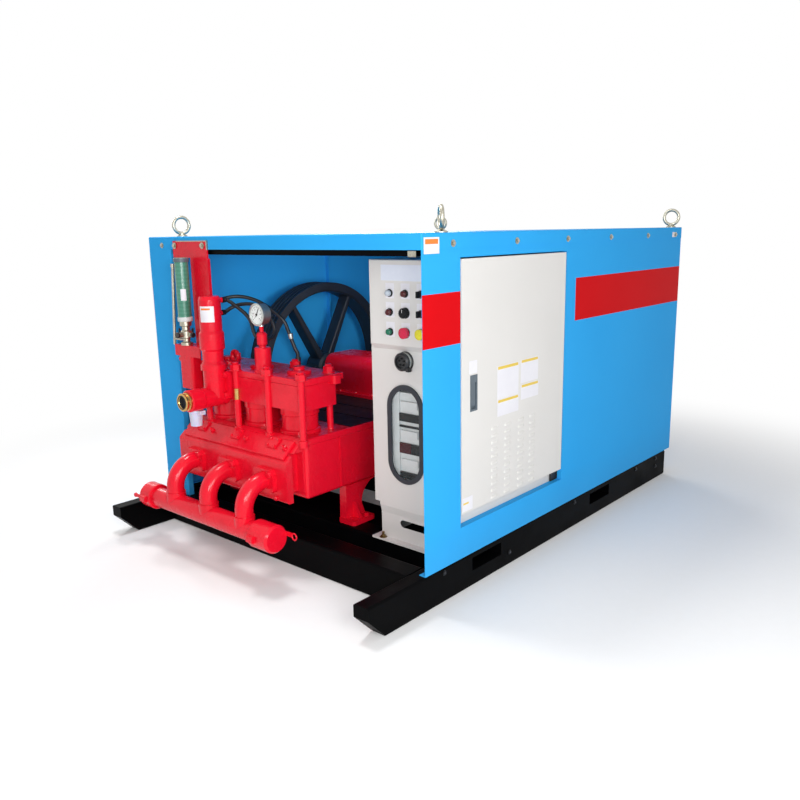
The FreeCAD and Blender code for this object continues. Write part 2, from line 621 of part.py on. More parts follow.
def fluid_end():
    """Sloped front casting with a raised pad along its slope, side recesses and three riser pads."""
    x0, x1 = PX0 + 8, PX1 - 12
    body = prism_x(x0, x1, [(HF, FRAME_TOP), (FLUID_Y, FLUID_Z1), (FLUID_Y, FLUID_Z0),
                            (FLUID_Y + 60, FLUID_Z0), (FLUID_Y + 60, FRAME_BOT + 34), (HF, FRAME_BOT + 34)])
    body = body.makeFillet(12, [e for e in body.Edges if is_along(e, X_AXIS)
                                and max(v.Y for v in e.Vertexes) < HF - 1])
    for x in (x0, x1):
        edge = 38
        body = body.cut(box(x - edge, x + edge, FLUID_Y + 32, HF - 10, FRAME_BOT, FRAME_TOP - 50))
    pad = box(x0 + 26, x1 - 26, 16, math.hypot(HF - FLUID_Y, FRAME_TOP - FLUID_Z1) - 24, -1, 13)
    pad = rounded(pad, 5)
    pad.rotate(V(0, 0, 0), X_AXIS, math.degrees(SLOPE))
    pad.translate(V(0, FLUID_Y, FLUID_Z1))
    lugs = []
    for x in CYL_X:
        lug = box(x - 64, x + 64, FLUID_Y - PAD_T, FLUID_Y + 5, RISER_Z - 50, RISER_Z + 50)
        lugs.append(rounded(lug, 22, Y_AXIS))
        for side in (-1, 1):
            lugs.append(cyl_y(FLUID_Y - PAD_T - 14, FLUID_Y - PAD_T, x + side * 50, RISER_Z + side * 34, 10))
    behind = box(-HALF_W, HALF_W, HF, CYL_Y, FRAME_BOT, FRAME_TOP)
    bosses = [cyl_z(FRAME_TOP - 30, FRAME_TOP, x, y, STUD_R + 6).cut(behind) for x, y in STUDS if y < HF]
    return fuse([body, pad] + lugs + bosses)


def valve_cylinder(x):
    """A cylinder between two clamped rings."""
    z0, z1, r = FRAME_TOP, BLOCK_Z0, CYL_R
    return turned_z(x, CYL_Y, [(0, z0), (r + 9, z0), (r + 9, z0 + 12), (r, z0 + 16), (r, z1 - 40),
                               (r + 5, z1 - 36), (r + 5, z1), (0, z1)])


def upper_block():
    """The valve chest: rounded chests over the cylinders, under one wide flange."""
    x0, x1 = PUMP_X - 1.5 * PITCH - 8, PUMP_X + 1.5 * PITCH + 8
    chest = rounded(box(x0, x1, BLOCK_Y0, BLOCK_Y1, BLOCK_Z0, BLOCK_Z1), 20, Z_AXIS)
    flange = box(x0 - 12, x1 + 12, BLOCK_Y0, BLOCK_Y1 + 32, BLOCK_Z1, FLANGE_Z)
    flange = rounded(rounded(flange, 16, Z_AXIS), 4, X_AXIS, Y_AXIS)
    ear = box(x1 - 20, x1 + 30, BLOCK_Y1 - 48, BLOCK_Y1 - 2, BLOCK_Z1 - 12, FLANGE_Z - 4)
    ear = rounded(ear, 14, Z_AXIS)
    caps = [turned_z(x, CYL_Y + 6, [(0, FLANGE_Z - 1), (52, FLANGE_Z - 1), (52, FLANGE_Z + 12),
                                    (46, FLANGE_Z + 16), (24, FLANGE_Z + 16), (24, FLANGE_Z + 30),
                                    (0, FLANGE_Z + 30)]) for x in CYL_X]
    eye_x, eye_y = PUMP_X - 170, HF + 90
    eye = Part.makeTorus(22, 9, V(eye_x, eye_y, FLANGE_Z + 38), Y_AXIS)
    stem = cyl_z(FLANGE_Z - 1, FLANGE_Z + 12, eye_x, eye_y, 13)
    block = fuse([chest, flange, ear] + caps + [eye, stem])
    return cut(block, *[cyl_z(BLOCK_Z0 - 1, FLANGE_Z + 1, x, y, STUD_R + GAP) for x, y in STUDS])


def hexagon(x, y, z0, z1, r):
    pts = [V(x + r * math.cos(math.radians(60 * k)), y + r * math.sin(math.radians(60 * k)), z0)
           for k in range(6)]
    return Part.Face(Part.makePolygon(pts + [pts[0]])).extrude(V(0, 0, z1 - z0))


def clamp_stud(x, y):
    """A long stud from the frame's top, with a hexagon nut on the flange."""
    return fuse([cyl_z(FRAME_TOP, FLANGE_Z + NUT_H + 7, x, y, STUD_R),
                 hexagon(x, y, FLANGE_Z, FLANGE_Z + NUT_H, NUT_R)])


save("fluid_end_body", fluid_end())
save("valve_cylinders", [valve_cylinder(x) for x in CYL_X])
save("upper_valve_block", upper_block())
save("clamp_studs", [clamp_stud(x, y) for x, y in STUDS])

# Discharge tee with the relief valve on top, and the union that a hose joins
TEE_X, TEE_Z = PUMP_X - 128, BLOCK_Z0 + 16
TEE_Y0 = HF - 207
TEE_COLLAR = 4.0
RELIEF_Y = HF - 60
RELIEF_Z0 = TEE_Z + 120
RELIEF_Z1 = RELIEF_Z0 + RELIEF_H
PORT_R = 11.0
PORT_REACH = RELIEF_R + 12
PORTS = ((110, RELIEF_Z1 - 20), (78, RELIEF_Z1 - 20), (90, RELIEF_Z1 - 76))    # (heading, height)


def port_tip(heading, z, reach=PORT_REACH):
    """A point on a port's axis; the heading is in degrees from +X towards +Y."""
    turn = math.radians(heading)
    return V(TEE_X + reach * math.cos(turn), RELIEF_Y + reach * math.sin(turn), z)


def discharge_tee():
    """A run of pipe with a bolted square flange behind and a collar in front."""
    r, y, collar = TEE_R, TEE_Y0, TEE_R + TEE_COLLAR
    run = turned_y(TEE_X, TEE_Z, [(0, BLOCK_Y0), (r, BLOCK_Y0), (r, y + 68), (collar, y + 62),
                                  (collar, y + 4), (collar - 4, y), (0, y)])
    rise = cyl_z(TEE_Z, RELIEF_Z0, TEE_X, RELIEF_Y, RELIEF_R)
    half = 66
    flange = rounded(box(TEE_X - half, TEE_X + half, BLOCK_Y0 - 24, BLOCK_Y0, TEE_Z - 12, BLOCK_Z1 + 24),
                     14, Y_AXIS)
    bolts = [turned_y(TEE_X + sx * 50, z, [(0, BLOCK_Y0 - 23), (11, BLOCK_Y0 - 23), (11, BLOCK_Y0 - 40),
                                           (0, BLOCK_Y0 - 40)])
             for sx in (-1, 1) for z in (TEE_Z + 6, BLOCK_Z1 + 8)]
    return fuse([run, rise, flange] + bolts)


def relief_valve():
    """The relief valve's column, with a thicker bonnet and a port for each hose."""
    z, r = RELIEF_Z0, RELIEF_R
    column = turned_z(TEE_X, RELIEF_Y, [
        (0, z), (r + 8, z), (r + 8, z + 24), (r + 3, z + 30), (r - 2, z + 40), (r - 2, z + 84),
        (r + 6, z + 92), (r + 6, z + 160), (r, z + 172), (r, RELIEF_Z1 - 14), (r - 6, RELIEF_Z1),
        (0, RELIEF_Z1)])
    ports = []
    for heading, height in PORTS:
        start, tip = V(TEE_X, RELIEF_Y, height), port_tip(heading, height)
        ports.append(Part.makeCylinder(PORT_R, PORT_REACH, start, tip.sub(start)))
    return fuse([column] + ports)


def outlet_union():
    y, r, end = TEE_Y0, UNION_R, TEE_Y0 - UNION_L
    return turned_y(TEE_X, TEE_Z, [(UNION_BORE, y), (r, y), (r, y - 7), (r - 3, y - 9), (r - 3, y - 16),
                                   (r, y - 18), (r, end + 2), (r - 2, end), (UNION_BORE + 5, end),
                                   (UNION_BORE, end + 7)])


def drip_cup():
    """A thin-walled cup under the tee, with its hanging lip."""
    x, y, top, r = TEE_X - 28, HF - 150, TEE_Z - TEE_R - TEE_COLLAR - GAP, CUP_R
    low = top - CUP_H
    cup = turned_z(x, y, [(0, low), (r - 5, low), (r, top - 8), (r, top), (r - 2.5, top),
                          (r - 7.5, low + 3), (0, low + 3)])
    lip = box(x + r - 10, x + r + 22, y - 14, y + 14, top - 18, top)
    lip = lip.cut(cyl_z(top - 24, top + 1, x, y, r - 2))
    return fuse([cup, lip])


save("discharge_tee", discharge_tee())
save("relief_valve", relief_valve())
save("outlet_union", outlet_union())
save("drip_cup", drip_cup())

# Pressure gauge on its stem
GAUGE_X, GAUGE_Y, GAUGE_Z = PUMP_X + 99, HF + 34, FLANGE_Z + GAUGE_RISE
STEM_TOP = GAUGE_Z - GAUGE_R - 4
SNUB_R = 22.0


def gauge_stem():
    z, r = FLANGE_Z, SNUB_R
    return turned_z(GAUGE_X, GAUGE_Y, [
        (0, z), (40, z), (40, z + 10), (35, z + 14), (35, z + 104), (31, z + 108), (15, z + 108),
        (15, z + 116), (r, z + 120), (r, z + 164), (16, z + 172), (9, z + 174), (9, STEM_TOP), (0, STEM_TOP)])


def gauge_case():
    """A round case with a bezel round the forward dial, and the socket that sits on the stem."""
    y, r = GAUGE_Y, GAUGE_R
    case = turned_y(GAUGE_X, GAUGE_Z, [
        (0, y + 24), (r - 8, y + 24), (r - 4, y + 20), (r - 4, y - 14), (r, y - 14), (r, y - 24),
        (r - 6, y - 26), (r - 8, y - 20), (0, y - 20)])
    return fuse([case, cyl_z(STEM_TOP, GAUGE_Z - r / 2, GAUGE_X, GAUGE_Y, 11)])


save("gauge_stem", gauge_stem())
save("pressure_gauge", gauge_case())

# Suction manifold with three curved risers and a clamped coupling at each end
MAN_X0, MAN_X1 = CYL_X[0] - 140, CYL_X[2] + 80
COUPLING_L = 83.0, 120.0


def riser(x):
    z = MANIFOLD_Z + RISER_STRAIGHT
    straight = cyl_z(MANIFOLD_Z, z, x, MANIFOLD_Y, RISER_R)
    ring = Part.makeTorus(BEND_R, RISER_R, V(x, MANIFOLD_Y + BEND_R, z), X_AXIS)
    room = RISER_R + 20
    quarter = box(x - room, x + room, MANIFOLD_Y - room, MANIFOLD_Y + BEND_R, z, RISER_Z + room)
    collar = cyl_z(MANIFOLD_Z, MANIFOLD_Z + MANIFOLD_R + 12, x, MANIFOLD_Y, RISER_R + 5)
    pipe = fuse([straight, ring.common(quarter), collar])
    return pipe.cut(cyl_x(x - room, x + room, MANIFOLD_Y, MANIFOLD_Z, MANIFOLD_R))


def coupling(x, outward, length):
    """A clamp coupling with two bolt lugs, a plug in its end, and a cam lever with a pull ring."""
    r = COUPLING_R
    end = x + outward * length
    profile = [(0, x), (r - 4, x), (r, x + outward * 5), (r, end - outward * 10), (r - 8, end), (0, end)]
    body = turned_x(MANIFOLD_Y, MANIFOLD_Z, profile)
    lugs = []
    for side in (-1, 1):
        x0, x1 = sorted((x + outward * 14, x + outward * 52))
        y0, y1 = sorted((MANIFOLD_Y + side * (r - 14), MANIFOLD_Y + side * (r + 14)))
        lugs.append(rounded(box(x0, x1, y0, y1, MANIFOLD_Z - 14, MANIFOLD_Z + 14), 6, X_AXIS))
    ax0, ax1 = sorted((end - outward * 30, end + outward * 34))
    arm = box(ax0, ax1, MANIFOLD_Y + r - 12, MANIFOLD_Y + r - 4, MANIFOLD_Z + 4, MANIFOLD_Z + 20)
    pull = Part.makeTorus(13, 3, V(end + outward * 46, MANIFOLD_Y + r - 8, MANIFOLD_Z + 8), Y_AXIS)
    return fuse([body] + lugs + [arm, pull])


save("suction_manifold", cyl_x(MAN_X0, MAN_X1, MANIFOLD_Y, MANIFOLD_Z, MANIFOLD_R))
save("suction_risers", [riser(x) for x in CYL_X])
save("manifold_caps", [coupling(MAN_X0, -1, COUPLING_L[0]), coupling(MAN_X1, 1, COUPLING_L[1])])

# Flywheel: six spokes, a hub, and a rim grooved for the drive belts
RIM_IN = WHEEL_R - RIM_T
GROOVE_STEP = (WHEEL_W - 16) / GROOVES


def groove_points(r):
    """The V grooves' outline along the rim, as (radius, x) pairs."""
    pts = []
    for i in range(GROOVES):
        mid = WX0 + 8 + (i + 0.5) * GROOVE_STEP
        foot = r - GROOVE_DEPTH
        pts += [(r, mid - GROOVE_TOP / 2), (foot, mid - GROOVE_FOOT / 2), (foot, mid + GROOVE_FOOT / 2),
                (r, mid + GROOVE_TOP / 2)]
    return pts


def spoke(turn):
    """A tapered arm with rounded edges, from hub to rim."""
    x0, x1 = WX0 + 24, WX1 - 20
    w0, w1, r0, r1 = 21, 14, HUB_R - 12, RIM_IN + 6
    arm = prism_x(x0, x1, [(-w0, r0), (w0, r0), (w1, r1), (-w1, r1)])
    arm = arm.makeFillet(9, [e for e in arm.Edges if abs(e.tangentAt(e.FirstParameter).z) > 0.9])
    arm.rotate(V(0, 0, 0), X_AXIS, turn - 90)
    arm.translate(V(0, CRANK_Y, CRANK_Z))
    return arm


def flywheel():
    rim = turned_x(CRANK_Y, CRANK_Z, [(RIM_IN, WX0), (WHEEL_R, WX0)] + groove_points(WHEEL_R)
                   + [(WHEEL_R, WX1), (RIM_IN + 8, WX1), (RIM_IN, WX1 - 8)])
    hub = turned_x(CRANK_Y, CRANK_Z, [(0, WX0), (HUB_R - 8, WX0), (HUB_R, WX0 + 8), (HUB_R, WX1 - 12),
                                      (HUB_R - 12, WX1), (0, WX1)])
    arms = [spoke(SPOKE_TURN + 360 / SPOKES * k) for k in range(SPOKES)]
    return fuse([rim, hub] + arms).cut(cyl_x(WX0 - 1, WX1 + 1, CRANK_Y, CRANK_Z, SHAFT_R))


save("flywheel", flywheel())
save("flywheel_shaft", cyl_x(WX0 - 12, COVER_X0 + 85, CRANK_Y, CRANK_Z, SHAFT_R))

# Drive motor behind the pump
MX0 = WX1 + 180
MX1 = MX0 + MOTOR_L
BASE_T = 40.0


def drive_motor():
    """A finned motor with end shields, feet, a terminal box and a fan cowl."""
    r = MOTOR_R
    barrel = turned_x(MOT_Y, MOT_Z, [
        (0, MX0), (r - 50, MX0), (r - 4, MX0 + 30), (r - 4, MX0 + 50), (r - 18, MX0 + 50),
        (r - 18, MX1 - 140), (r - 4, MX1 - 140), (r - 4, MX1 - 20), (r - 30, MX1), (0, MX1)])
    fins = []
    for k in range(24):
        fin = box(MX0 + 55, MX1 - 145, -FIN_T / 2, FIN_T / 2, MOTOR_R - 30, MOTOR_R - 18 + FIN_H)
        fin.rotate(V(0, 0, 0), X_AXIS, 15 * k)
        fin.translate(V(0, MOT_Y, MOT_Z))
        fins.append(fin)
    feet = []
    foot_z = SKID_H + BASE_T
    for side in (-1, 1):
        y0, y1 = sorted((MOT_Y + side * 90, MOT_Y + side * 190))
        feet.append(box(MX0 + 60, MX1 - 160, y0, y1, foot_z, foot_z + 22))
        y0, y1 = sorted((MOT_Y + side * 110, MOT_Y + side * 150))
        feet.append(box(MX0 + 80, MX1 - 180, y0, y1, foot_z, MOT_Z - 120))
    terminal = rounded(box(MX0 + 200, MX0 + 360, MOT_Y - 85, MOT_Y + 85, MOT_Z + 150, MOT_Z + 290), 8)
    shaft = cyl_x(WX0 - 5, MX0 + 1, MOT_Y, MOT_Z, MOTOR_SHAFT_R)
    return fuse([barrel] + fins + feet + [terminal, shaft])


def motor_base():
    """Two slide rails across the motor beams, tied by a plate at each end."""
    rails = [box(MX0 + 30, MX1 - 130, MOT_Y + s - 55, MOT_Y + s + 55, SKID_H, SKID_H + BASE_T)
             for s in (-RAIL_OUT, RAIL_OUT)]
    ties = [box(x, x + 40, MOT_Y - RAIL_OUT, MOT_Y + RAIL_OUT, SKID_H, SKID_H + 20)
            for x in (MX0 + 30, MX1 - 170)]
    return fuse(rails + ties)


save("motor_base", motor_base())
save("drive_motor", drive_motor())
PULLEY_PROFILE = [(MOTOR_SHAFT_R, WX0), (PULLEY_R, WX0)] + groove_points(PULLEY_R)
save("motor_pulley", turned_x(MOT_Y, MOT_Z, PULLEY_PROFILE + [(PULLEY_R, WX1), (MOTOR_SHAFT_R, WX1)]))


def belt_loop(x0, x1, r_big, r_small):
    """An open belt's loop round the two pulleys, between two planes across the shafts."""
    def outline(ra, rb):
        dy, dz = MOT_Y - CRANK_Y, MOT_Z - CRANK_Z
        base, tilt = math.atan2(dz, dy), math.acos((ra - rb) / math.hypot(dy, dz))
        big, small = V(x0, CRANK_Y, CRANK_Z), V(x0, MOT_Y, MOT_Z)
        ahead = V(0, math.cos(base), math.sin(base))
        tangents = [V(0, math.cos(base + s * tilt), math.sin(base + s * tilt)) for s in (1, -1)]
        (a1, b1), (a2, b2) = [(big + u * ra, small + u * rb) for u in tangents]
        return Part.Wire([Part.LineSegment(a1, b1).toShape(), Part.Arc(b1, small + ahead * rb, b2).toShape(),
                          Part.LineSegment(b2, a2).toShape(), Part.Arc(a2, big - ahead * ra, a1).toShape()])
    outer = Part.Face(outline(r_big + BELT_T, r_small + BELT_T)).extrude(V(x1 - x0, 0, 0))
    return outer.cut(Part.Face(outline(r_big, r_small)).extrude(V(x1 - x0, 0, 0)))


def drive_belts():
    """One belt in each groove, whose lower corners ride just off the groove's flanks."""
    flank = math.atan2((GROOVE_TOP - GROOVE_FOOT) / 2, GROOVE_DEPTH)
    half = GROOVE_FOOT / 2 + BELT_SEAT * math.tan(flank) - GAP / math.cos(flank)
    lift = BELT_SEAT - GROOVE_DEPTH
    mids = [WX0 + 8 + (i + 0.5) * GROOVE_STEP for i in range(GROOVES)]
    return [belt_loop(mid - half, mid + half, WHEEL_R + lift, PULLEY_R + lift) for mid in mids]


save("drive_belts", drive_belts())

# Red bracket that hangs from the roof's rim and carries the lubricant tube
BRACKET_X0 = -HALF_W + 209
BRACKET_W = 259.0
STEM_X0 = BRACKET_X0 + 131
TUBE_X, TUBE_Y = BRACKET_X0 + 130, HF - TUBE_OUT
LEDGE_X0, LEDGE_Y0, LEDGE_Z = BRACKET_X0 + 57, HF - 72, FLANGE_Z + 94
LEDGE_DROP = 50.0          # depth of the ledge's turned-down front
TUBE_Z0 = LEDGE_Z + 108
TUBE_Z1 = EAVE_Z - 34
BOX_X0, BOX_W, BOX_H = BRACKET_X0 + 80, 98.0, 200.0


def tube_bracket():
    """A flanged hanger plate with a ledge, and the small pump's housing under the ledge."""
    y0, y1 = HF - BRACKET_T, HF
    x1 = BRACKET_X0 + BRACKET_W
    head = box(BRACKET_X0, x1, y0, y1, EAVE_Z - 36, EAVE_Z + 38)
    hanger = box(STEM_X0, x1, y0, y1, LEDGE_Z - 8, EAVE_Z + 38)
    flange = box(x1 - BRACKET_T, x1, HF, HF + 8, LEDGE_Z, EAVE_Z - 40)
    ledge = box(LEDGE_X0, x1 - 12, LEDGE_Y0, HF, LEDGE_Z - 8, LEDGE_Z)
    lip = box(LEDGE_X0, x1 - 12, LEDGE_Y0, LEDGE_Y0 + 6, LEDGE_Z - LEDGE_DROP, LEDGE_Z)
    cheek = box(LEDGE_X0, LEDGE_X0 + 6, LEDGE_Y0, HF - 12, LEDGE_Z - LEDGE_DROP, LEDGE_Z)
    back = BLOCK_Y0 - 3
    housing = box(BOX_X0, BOX_X0 + BOX_W, back - 55, back, LEDGE_Z - BOX_H, LEDGE_Z - 7)
    housing = rounded(housing, 12, Z_AXIS)
    knob = turned_x(back - 30, LEDGE_Z - LEDGE_DROP - 20, [
        (0, BOX_X0 + 1), (8, BOX_X0 + 1), (8, BOX_X0 - 8), (14, BOX_X0 - 10), (14, BOX_X0 - 22),
        (10, BOX_X0 - 25), (0, BOX_X0 - 25)])
    return fuse([head, hanger, flange, ledge, lip, cheek, housing, knob])


NECK_R = 26.0
ROD_R = 6.5


def reservoir_tube():
    """The green tube between its two end caps."""
    z0, z1, r = TUBE_Z0, TUBE_Z1, TUBE_R
    return turned_z(TUBE_X, TUBE_Y, [(0, z0), (r + 2, z0), (r + 2, z0 + 20), (r, z0 + 22), (r, z1 - 20),
                                     (r + 2, z1 - 18), (r + 2, z1 - 2), (r - 2, z1), (0, z1)])


def tube_fitting():
    """The plated neck under the tube, its drain cocks, and the thin sight rod beside it."""
    z0, z1, r = LEDGE_Z, TUBE_Z0, NECK_R
    neck = turned_z(TUBE_X, TUBE_Y, [
        (0, z0), (r, z0), (r, z0 + 12), (15, z0 + 16), (15, z0 + 30), (24, z0 + 34), (24, z0 + 62),
        (18, z0 + 68), (18, z0 + 84), (r, z0 + 88), (r, z1), (0, z1)])
    cocks = [cyl_y(TUBE_Y - 40, TUBE_Y - 18, TUBE_X, z0 + 48, 12),
             cyl_x(TUBE_X + 18, TUBE_X + 44, TUBE_Y, z0 + 48, 11),
             cyl_x(TUBE_X - 46, TUBE_X - 18, TUBE_Y, z0 + 40, 11)]
    foot, top = V(TUBE_X - 99, TUBE_Y, z0 - 4), V(TUBE_X - 69, TUBE_Y, TUBE_Z1 - 42)
    run = top.sub(foot)
    link_z = z0 + 22
    rod = fuse([Part.makeCylinder(ROD_R, run.Length, foot, run), cyl_x(foot.x, TUBE_X, TUBE_Y, link_z, 5),
                Part.makeCylinder(ROD_R + 3, 14, top, run)])
    return fuse([neck, rod] + cocks)


save("tube_bracket", tube_bracket())
save("reservoir_tube", reservoir_tube())
save("tube_fitting", tube_fitting())

# Control hoses from the relief valve's ports, as points in order, each measured from the hood's front plane
def control_hoses():
    """One hose over to the valve block's flange, and two to the nut under the gauge."""
    over = [(-313, 85, 1128), (-272, 120, 1121), (-236, 145, 1107), (-201, 162, 1087), (-150, 180, 1052),
            (-112, 195, 1018), (-99, 213, 947), (-82, 225, 888), (-76, 232, FLANGE_Z + 58)]
    to_left = [(-262, 28, 1104), (-226, 37, 1081), (-184, 42, 1057), (-152, 41, 1028), (-136, 37, 992),
               (-118, 34, 966)]
    to_back = [(-300, 52, 1080), (-269, 75, 1094), (-211, 90, 1098), (-168, 103, 1088), (-130, 116, 1060),
               (-100, 120, 1020), (-84, 116, 978), (-76, 90, 956)]
    reach = SNUB_R + GAP
    ends = [V(-76, HF + 232, FLANGE_Z + 36), V(GAUGE_X - reach, GAUGE_Y, 966), V(GAUGE_X, GAUGE_Y + reach, 956)]
    hoses = []
    for (heading, height), points, end in zip(PORTS, (over, to_left, to_back), ends):
        start = port_tip(heading, height, PORT_REACH + GAP)
        lead = port_tip(heading, height, PORT_REACH + (34 if points is over else 20))
        route = [start, lead] + [V(x, HF + y, z) for x, y, z in points] + [end]
        hoses.append(tube_path(route, HOSE_R))
    elbow = cyl_z(FLANGE_Z + GAP, FLANGE_Z + 37, ends[0].x, ends[0].y, HOSE_R + 4)
    return [fuse([hoses[0], elbow]), hoses[1], hoses[2]]


save("control_hoses", control_hoses())
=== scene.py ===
# %% [markdown]
# # A jet grouting pump set
#
# The real set is a plunger pump, a flywheel and a control cabinet under a sheet-steel hood, all
# on one welded skid. The CAD model already holds every main shape. This script gives each shape
# the surface it really has, adds the small parts that are too fine for the CAD, and then sets
# up the light and the camera. Everything is in metres, in the same frame as the CAD: +Z is up,
# and the pump's open end faces -Y.

# %% Load the CAD model as a fixed frame
import json
import math
import bmesh
import bpy
from mathutils import Matrix, Vector


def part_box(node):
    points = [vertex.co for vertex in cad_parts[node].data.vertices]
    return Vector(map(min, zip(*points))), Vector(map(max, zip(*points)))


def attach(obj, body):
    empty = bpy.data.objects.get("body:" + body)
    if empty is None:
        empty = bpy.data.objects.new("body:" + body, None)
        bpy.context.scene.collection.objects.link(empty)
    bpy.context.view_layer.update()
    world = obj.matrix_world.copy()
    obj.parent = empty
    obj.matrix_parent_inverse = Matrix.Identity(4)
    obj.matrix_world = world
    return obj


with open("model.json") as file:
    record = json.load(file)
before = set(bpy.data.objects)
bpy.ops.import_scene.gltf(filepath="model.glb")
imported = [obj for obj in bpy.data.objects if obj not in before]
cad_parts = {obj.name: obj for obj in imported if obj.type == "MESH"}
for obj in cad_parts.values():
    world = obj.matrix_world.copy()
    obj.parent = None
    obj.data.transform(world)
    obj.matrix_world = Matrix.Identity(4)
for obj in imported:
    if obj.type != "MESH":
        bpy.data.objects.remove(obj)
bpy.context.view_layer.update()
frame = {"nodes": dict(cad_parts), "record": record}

nodes = frame["nodes"]

# %% [markdown]
# ## The camera
#
# The photograph was taken from about head height, to the right of the open end. Its place and
# lens can be worked out from the hood's straight edges, because parallel edges all run to the
# same point in a picture. The numbers below are that fit. The camera turns about Z first, then
# tilts down, then rolls by one degree, as a camera in the hand does.

# %% Camera
PHOTO_SIZE = 800
FOCAL_PX = 781.99
CAM_PLACE = Vector((2.5500, -3.0436, 1.3996))
CAM_TURN, CAM_TILT, CAM_ROLL = (math.radians(a) for a in (41.2155, -12.2143, -1.0532))

lens = bpy.data.cameras.new("camera")
lens.lens = FOCAL_PX / PHOTO_SIZE * lens.sensor_width
camera = bpy.data.objects.new("camera", lens)
camera.matrix_world = (Matrix.Translation(CAM_PLACE) @ Matrix.Rotation(CAM_TURN, 4, "Z")
                       @ Matrix.Rotation(math.radians(90) + CAM_TILT, 4, "X")
                       @ Matrix.Rotation(CAM_ROLL, 4, "Z"))
bpy.context.scene.collection.objects.link(camera)
bpy.context.scene.camera = camera
print("lens:", round(lens.lens, 2), "mm")

# %% [markdown]
# ## Helpers for materials
#
# A paint chart gives colours as sRGB, but shaders count in linear light, so one function turns
# a hex value into linear numbers. Nodes are all added in the same way: a kind, its inputs and
# its options. An input is a number, a hex colour, or another node, which then gives the first
# output that it has in use. The coordinates are each piece's own, in metres, so a pattern
# travels with a door that opens. In Blender's Mix node for colours, input 0 is the share, and
# inputs 6 and 7 are the two colours.

# %% Colours and nodes


def linear(hex_code):
    """An sRGB hex colour as linear RGBA."""
    parts = [int(hex_code[i:i + 2], 16) / 255 for i in (1, 3, 5)]
    parts = [c / 12.92 if c <= 0.04045 else ((c + 0.055) / 1.055) ** 2.4 for c in parts]
    return (*parts, 1.0)


def wire(node, inputs):
    """Give each input a number, a hex colour, or what another node puts out."""
    for name, value in inputs.items():
        if isinstance(value, str):
            value = linear(value)
        if isinstance(value, bpy.types.Node):
            value = next(output for output in value.outputs if output.enabled)
        if isinstance(value, bpy.types.NodeSocket):
            node.id_data.links.new(value, node.inputs[name])
        else:
            node.inputs[name].default_value = value


def put(tree, kind, inputs=None, **options):
    """Add one node, with its own options and its inputs."""
    node = tree.nodes.new("ShaderNode" + kind)
    for name, value in options.items():
        setattr(node, name, value)
    wire(node, inputs or {})
    return node


def start(name):
    """A new material: its node tree, its shader, and the piece's own coordinates."""
    made = bpy.data.materials.new(name)
    made.use_nodes = True
    tree = made.node_tree
    return tree, tree.nodes["Principled BSDF"], put(tree, "TexCoord").outputs["Object"]


def per(mm):
    """The texture scale whose features are about so many millimetres wide."""
    return 1000.0 / mm


print("the pump's red in linear light:", [round(c, 3) for c in linear("#E00F29")])

# %% [markdown]
# ## The skid: gloss black enamel on welded box section
#
# The skid is welded from steel box section and sprayed with black enamel. Brushed or sprayed
# enamel never dries quite flat: it keeps a soft orange peel of a few millimetres, which breaks
# up long reflections. Thin dust lies on it in patches, so the colour goes slightly grey there
# and the gloss drops. One noise texture can drive both, because dust does both at once.

# %% Gloss black enamel
# the same black goes on the rail under the hood's front edge, where it is painted shade for the
# dark gap there
tree, shader, place = start("gloss_black_enamel")
dust = put(tree, "TexNoise", {"Vector": place, "Scale": per(160), "Detail": 7.0})
dusty = put(tree, "MapRange", {"Value": dust, "From Min": 0.48, "From Max": 0.80, "To Max": 0.15})
colour = put(tree, "Mix", {0: dusty, 6: "#040405", 7: "#0E0E0E"}, data_type="RGBA")
gloss = put(tree, "MapRange", {"Value": dust, "From Min": 0.4, "From Max": 0.8,
                               "To Min": 0.35, "To Max": 0.6})
peel = put(tree, "TexNoise", {"Vector": place, "Scale": per(7), "Detail": 2.0})
bump = put(tree, "Bump", {"Height": peel, "Distance": 0.0006, "Strength": 0.35})
wire(shader, {"Base Color": colour, "Roughness": gloss, "Normal": bump, "IOR": 1.5,
              "Specular IOR Level": 0.03})
print("made gloss_black_enamel")

# %% [markdown]
# ## The hood: sky blue enamel with a red band
#
# The hood is pressed from 2 mm sheet, sprayed sky blue, and then masked and sprayed again for
# the red band that runs round it. The band could be a separate thin mesh, but real paint has no
# thickness to speak of, so the mask is worked out from the height and the side instead: it is
# red between two heights, on the outer faces only, and stops at the cabinet's door frame as the
# real masking does.

# %% Where the band is
BAND_LOW, BAND_HIGH = 0.991, 1.181
SKIN = 0.0015              # how far inside the outer face still counts as outside
post_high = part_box("right_front_post")[1]
jamb_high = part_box("door_jamb")[1]
back_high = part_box("rear_panel")[1]

tree, shader, place = start("sky_blue_enamel_with_red_band")
axes = put(tree, "SeparateXYZ", {"Vector": place}).outputs
in_height = put(tree, "Math", {0: axes["Z"], 1: (BAND_LOW + BAND_HIGH) / 2,
                               2: (BAND_HIGH - BAND_LOW) / 2}, operation="COMPARE")
across = put(tree, "Math", {0: axes["X"]}, operation="ABSOLUTE")
on_side = put(tree, "Math", {0: across, 1: post_high[0] - SKIN}, operation="GREATER_THAN")
on_back = put(tree, "Math", {0: axes["Y"], 1: back_high[1] - SKIN}, operation="GREATER_THAN")
outside = put(tree, "Math", {0: on_side, 1: on_back}, operation="MAXIMUM")
print("band from", BAND_LOW, "to", BAND_HIGH, "m")

